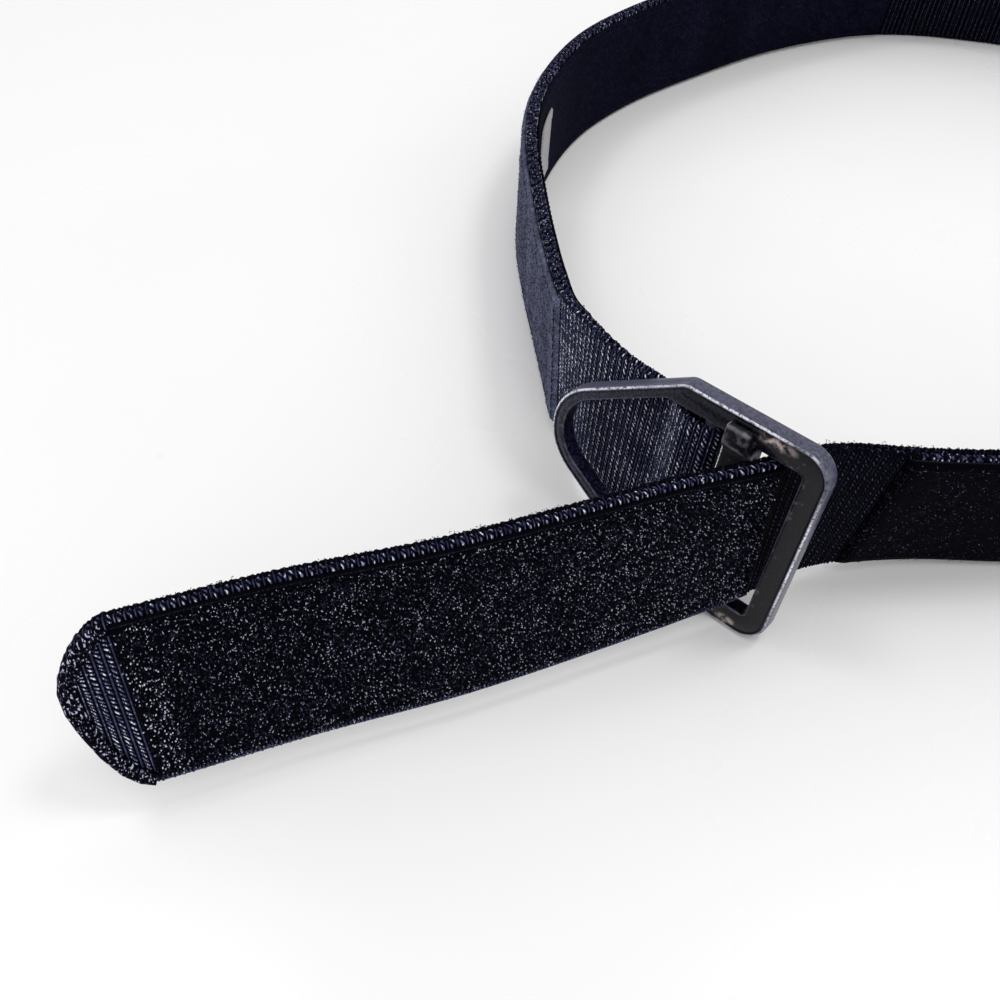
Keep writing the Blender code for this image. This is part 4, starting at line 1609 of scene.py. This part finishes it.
@dataclass
class Buckle:
    """The V-ring with its fixed bar, and the bar that slides on its rails."""

    sizes: BuckleSizes
    finishes: Finishes
    rim: float = 0.65 * MM
    groove: float = 1.15 * MM
    groove_depth: float = 0.35 * MM
    recess: float = 0.12 * MM
    inner_edge: float = 0.8 * MM
    back_edge: float = 0.7 * MM
    outline_step: float = 1.0 * MM
    arc_steps: int = 5
    shank_extra: float = 1.8 * MM
    fixed_rows: int = 56
    fixed_sides: int = 24
    end_round: float = 0.9 * MM

    def outlines(self) -> Arrays:
        """Return the outer and the inner outline, point for point."""
        sizes = self.sizes
        half_in = sizes.slot_length / 2
        half_out = half_in + sizes.rail_width
        bar = -sizes.end_bar_width
        corner, shoulder, small = sizes.corner_radius, sizes.shoulder_radius, sizes.inner_corner_radius
        outer = ((bar, half_out, corner), (sizes.shoulder_outer, half_out, shoulder),
                 (sizes.nose_outer_apex, 0.0, sizes.nose_outer_radius),
                 (sizes.shoulder_outer, -half_out, shoulder), (bar, -half_out, corner))
        inner = ((0.0, half_in, small), (sizes.shoulder_inner, half_in, shoulder),
                 (sizes.nose_inner_apex, 0.0, sizes.nose_inner_radius),
                 (sizes.shoulder_inner, -half_in, shoulder), (0.0, -half_in, small))
        first, second = rounded_outline(outer, 12), rounded_outline(inner, 12)
        rows_first, rows_second = [], []
        for i in range(len(first)):
            j = (i + 1) % len(first)
            steps = max(1, round(float(np.linalg.norm(first[j] - first[i])) / self.outline_step))
            for k in range(steps):
                rows_first.append(first[i] + (first[j] - first[i]) * k / steps)
                rows_second.append(second[i] + (second[j] - second[i]) * k / steps)
        return np.array(rows_first), np.array(rows_second)

    @staticmethod
    def inward(outline: np.ndarray) -> np.ndarray:
        """Return the direction square to a closed outline, to the side of its middle.

        Args:
            outline: Places round the outline.

        Returns:
            A direction of unit length at each place.
        """
        ahead = unit(np.roll(outline, -1, axis=0) - np.roll(outline, 1, axis=0) + 1e-12)
        side = np.stack((-ahead[:, 1], ahead[:, 0]), axis=1)
        middle = outline.mean(axis=0)
        return side * np.sign(np.sum(side * (middle - outline), axis=1).mean())

    def arc(self, radius: float, start: float, end: float, centre: tuple[float, float]) -> list[
            tuple[float, float]]:
        """Return points of an arc in the plane of inset and depth."""
        return [(centre[0] + radius * math.cos(a), centre[1] + radius * math.sin(a))
                for a in np.linspace(math.radians(start), math.radians(end), self.arc_steps)]

    def build_frame(self) -> bpy.types.Object:
        """Make the ring."""
        outer, inner = self.outlines()
        into, outof = self.inward(outer), -self.inward(inner)
        deep = -self.sizes.thickness
        rim, back = self.rim, self.back_edge
        count = self.arc_steps
        # Shade round the section: painted reflection on the outer walls, painted highlight on the rim.
        wear_and_light = [0.5] * count + [0.55, 0.8, 1.0, 1.0, 0.85] + [0.1, 0.0, 0.35]
        wear_and_light += [0.35, 0.45, 0.7, 0.4, 0.36] + [0.36] * count
        at_outer = (self.arc(back, 270, 180, (back, deep + back)) + self.arc(rim, 180, 90, (rim, -rim))
                    + [(self.groove - 0.25 * MM, -0.02 * MM), (self.groove, -self.groove_depth),
                       (self.groove + 0.3 * MM, -self.recess)])
        edge = self.inner_edge
        at_inner = (self.arc(edge, 90, 180, (edge, -edge - self.recess))
                    + self.arc(back, 180, 270, (back, deep + back)))
        rings, depths = [], []
        for inset, depth in at_outer:
            rings.append(outer + into * inset)
            depths.append(depth)
        for inset, depth in at_inner:
            rings.append(inner + outof * inset)
            depths.append(depth)
        flat = np.stack(rings, axis=1)
        depth = np.broadcast_to(np.array(depths), flat.shape[:2])
        local = np.concatenate((flat, depth[..., None]), axis=2)
        rows, columns = local.shape[:2]
        index = np.arange(rows * columns).reshape(rows, columns)
        index = np.vstack((index, index[:1]))
        faces = grid_faces(rows + 1, columns, True)
        faces = index.ravel()[faces]
        shade = np.broadcast_to(np.array(wear_and_light), local.shape[:2]).ravel()
        return self.add("buckle_ring", local.reshape(-1, 3), faces, "buckle_frame", shade)

    def add(self, name: str, local: np.ndarray, faces: np.ndarray, node: str,
            shade: np.ndarray) -> bpy.types.Object:
        """Turn points in the buckle's own frame into a painted piece.

        Args:
            name: Name of the piece.
            local: Points in the buckle's frame.
            faces: Vertex numbers of each face.
            node: Solid of the part that it stands for.
            shade: From 0 to 1 at each point; high values take painted reflections and highlights.

        Returns:
            The piece.
        """
        matrix = np.array(self.sizes.matrix())
        points = local @ matrix[:3, :3].T + matrix[:3, 3]
        mesh = make_mesh(name, points, faces, shade=shade)
        own = mesh.attributes.new("own", "FLOAT_VECTOR", "POINT")
        own.data.foreach_set("vector", local.astype(np.float32).ravel())
        shape = bmesh.new()
        shape.from_mesh(mesh)
        bmesh.ops.recalc_face_normals(shape, faces=shape.faces)
        shape.to_mesh(mesh)
        shape.free()
        finish = self.finishes.bar_paint if node == "sliding_bar" else self.finishes.paint
        return add_piece(name, mesh, finish.build(), Slot.PAINT, node)

    def build_fixed_bar(self) -> bpy.types.Object:
        """Make the round bar that the webbing is folded round."""
        sizes = self.sizes
        reach = sizes.slot_length / 2 + sizes.rail_width / 2
        count, sides = self.fixed_rows, self.fixed_sides
        rows = np.linspace(-reach, reach, count)
        angle = TAU * np.arange(sides) / sides
        ring = np.stack((np.cos(angle), 0 * angle, np.sin(angle)), axis=1) * sizes.fixed_bar_radius
        centre = np.stack((np.full(count, sizes.fixed_bar_place), rows,
                           np.full(count, -sizes.fixed_bar_depth)), axis=1)
        local = centre[:, None] + ring[None]
        faces = np.vstack((grid_faces(count, sides, True), cap_faces(count, sides)))
        return self.add("buckle_fixed_bar", local.reshape(-1, 3), faces, "buckle_frame",
                        np.full(count * sides, 0.5))

    def sliding_rows(self) -> np.ndarray:
        """Return the sliding bar's rows: place along it, top, bottom and crown."""
        sizes = self.sizes
        shank = sizes.slot_length / 2 - CLEARANCE
        step, reach, high = sizes.sliding_bar_step, sizes.sliding_bar_reach, sizes.sliding_bar_high
        drop = high - sizes.sliding_bar_middle
        low, start = sizes.sliding_bar_middle, step - drop
        top_at = np.array((0.0, start - 0.6 * MM, start, step - 0.2 * MM, step + 0.6 * MM, reach))
        top_is = np.array((low, low, low + 0.1 * MM, high - 0.25 * MM, high, high))
        round_from = reach - self.end_round
        away = np.sin(np.linspace(0.0, math.pi / 2, 6))
        half = np.concatenate((np.linspace(0.0, shank - 0.5 * MM, 44),
                               [shank - 0.05 * MM, shank + 0.05 * MM],
                               np.linspace(shank + 0.6 * MM, round_from, 7),
                               round_from + self.end_round * away[1:]))
        whole = np.concatenate((-half[::-1], half[1:]))
        size = np.abs(whole)
        top = np.interp(size, top_at, top_is)
        bottom = np.where(size > shank, CLEARANCE, -sizes.sliding_bar_low)
        into_end = ((size - round_from) / self.end_round).clip(0, 1)
        cap = np.sqrt(np.clip(1 - into_end**2, 0.04, 1.0))
        crown = 0.45 * MM * smoothstep(step - 0.5 * MM, step + 1.5 * MM, size)
        return np.stack((whole, top, bottom, cap, crown), axis=1)

    def build_sliding_bar(self) -> bpy.types.Object:
        """Make the bar, with rounded edges and crowned ends."""
        sizes = self.sizes
        radius = 0.6 * MM
        corner = np.linspace(0.0, math.pi / 2, 5)
        rows = self.sliding_rows()
        half = sizes.sliding_bar_width / 2
        shank = sizes.slot_length / 2
        sections = []
        for along, top, bottom, cap, crown in rows:
            middle, tall = (top + bottom) / 2, (top - bottom) / 2 * cap
            wide = half - (1 - cap) * 0.6 * MM
            soft = min(radius, tall * 0.8)
            ring = []
            broad = self.shank_extra * float(1 - smoothstep(shank - 1 * MM, shank, np.abs(along)))
            for quarter in range(4):
                turn = corner + quarter * math.pi / 2
                sign_x = 1 if quarter in (0, 3) else -1
                sign_z = 1 if quarter in (0, 1) else -1
                for a in turn:
                    ring.append((sign_x * (wide - soft) + soft * math.cos(a) - broad * (sign_x < 0),
                                 sign_z * (tall - soft) + soft * math.sin(a)))
            ring = np.array(ring)
            bulge = crown * cap * (1 - (ring[:, 0] / wide) ** 2) * (ring[:, 1] > 0)
            sections.append(np.stack((sizes.sliding_bar_place + ring[:, 0], np.full(len(ring), along),
                                      middle + ring[:, 1] + bulge), axis=1))
        local = np.array(sections)
        count, sides = local.shape[:2]
        faces = np.vstack((grid_faces(count, sides, True), cap_faces(count, sides)))
        # Painted highlight along the two rounded edges on the nose side; the other two stay dim.
        bright, dim = [0.3, 0.6, 1.0, 0.6, 0.3], [0.3] * 5
        edge = np.tile(bright + dim + dim + bright, count)
        return self.add("buckle_sliding_bar", local.reshape(-1, 3), faces, "sliding_bar", edge)

    def build(self) -> None:
        """Make the whole buckle."""
        self.build_frame()
        self.build_fixed_bar()
        self.build_sliding_bar()


@dataclass
class Studio:
    """Table top, soft light and camera."""

    finish: FloorFinish
    floor_size: float = 6.0
    world: float = 0.74
    lens: float = 36.0
    camera_height: float = 213.4 * MM
    camera_tilt_deg: float = 42.0
    lamps: tuple[tuple[Triple, float, float], ...] = (
        ((-0.6, 0.1, 1.2), 0.3, 1.8), ((0.45, 0.0, 1.4), 0.3, 3.3), ((0.1, -0.7, 1.3), 0.7, 2.6))

    def build_camera(self) -> None:
        """Place the camera as the photograph was taken."""
        data = bpy.data.cameras.new("camera")
        data.lens = self.lens
        data.sensor_width = 36.0
        data.clip_start = 0.01
        camera = bpy.data.objects.new("camera", data)
        bpy.context.scene.collection.objects.link(camera)
        camera.location = Vector((0.0, 0.0, self.camera_height)) - PLAN_CENTRE
        camera.rotation_euler = (math.radians(self.camera_tilt_deg), 0.0, 0.0)
        bpy.context.scene.camera = camera

    def build_floor(self) -> None:
        """Lay the table top."""
        half = self.floor_size / 2
        mesh = bpy.data.meshes.new("table_top")
        mesh.from_pydata([(-half, -half, 0), (half, -half, 0), (half, half, 0), (-half, half, 0)], [],
                         [(0, 1, 2, 3)])
        floor = bpy.data.objects.new("table_top", mesh)
        mesh.materials.append(self.finish.build())
        bpy.context.scene.collection.objects.link(floor)

    def build_light(self) -> None:
        """Hang the soft lamps and light the room."""
        world = bpy.data.worlds.new("room")
        world.use_nodes = True
        background = world.node_tree.nodes["Background"]
        background.inputs["Color"].default_value = (1.0, 1.0, 1.0, 1.0)
        background.inputs["Strength"].default_value = self.world
        bpy.context.scene.world = world
        for number, (place, size, power) in enumerate(self.lamps):
            data = bpy.data.lights.new(f"lamp_{number}", "AREA")
            data.size = size
            data.energy = power
            lamp = bpy.data.objects.new(data.name, data)
            bpy.context.scene.collection.objects.link(lamp)
            lamp.location = place
            lamp.rotation_euler = (-Vector(place)).to_track_quat("-Z", "Y").to_euler()
        bpy.context.scene.view_settings.view_transform = "Standard"

    def build(self) -> None:
        """Set the scene up."""
        self.build_camera()
        self.build_floor()
        self.build_light()


def main() -> None:
    """Build the belt and its studio."""
    logging.basicConfig(level=logging.INFO, format="%(name)s: %(message)s")
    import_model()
    finishes = Finishes()
    Studio(finishes.floor).build()
    buckle = BuckleSizes()
    courses = BeltCourses(buckle)
    RibbedWebbing(courses, finishes).build()
    EdgeLoops(courses, finishes.webbing).build()
    HookFastener(courses, finishes).build()
    PileFastener(courses, finishes).build()
    lining_start = courses.station("start of the lining")
    lining_end = courses.station("before the nose")
    LiningTape(courses, finishes.lining, "lining_sheet", Slot.LINING, "lining_tape", -2.55 * MM,
               42 * MM, 0.8 * MM, lining_start, lining_end, along_step=1.6 * MM, across_step=1.6 * MM,
               side=-1).build()
    label_middle = courses.station("label")
    LabelStrip(courses, finishes.label, "label_strip", Slot.LABEL, "label", -3.75 * MM, 25 * MM,
               0.6 * MM, label_middle - 10 * MM, label_middle + 10 * MM, along_step=0.25 * MM,
               across_step=0.25 * MM, side=-1).build()
    TipBinding(courses, finishes.binding).build()
    Sewing(courses, finishes).build()
    Buckle(buckle, finishes).build()


if __name__ == "__main__":
    main()
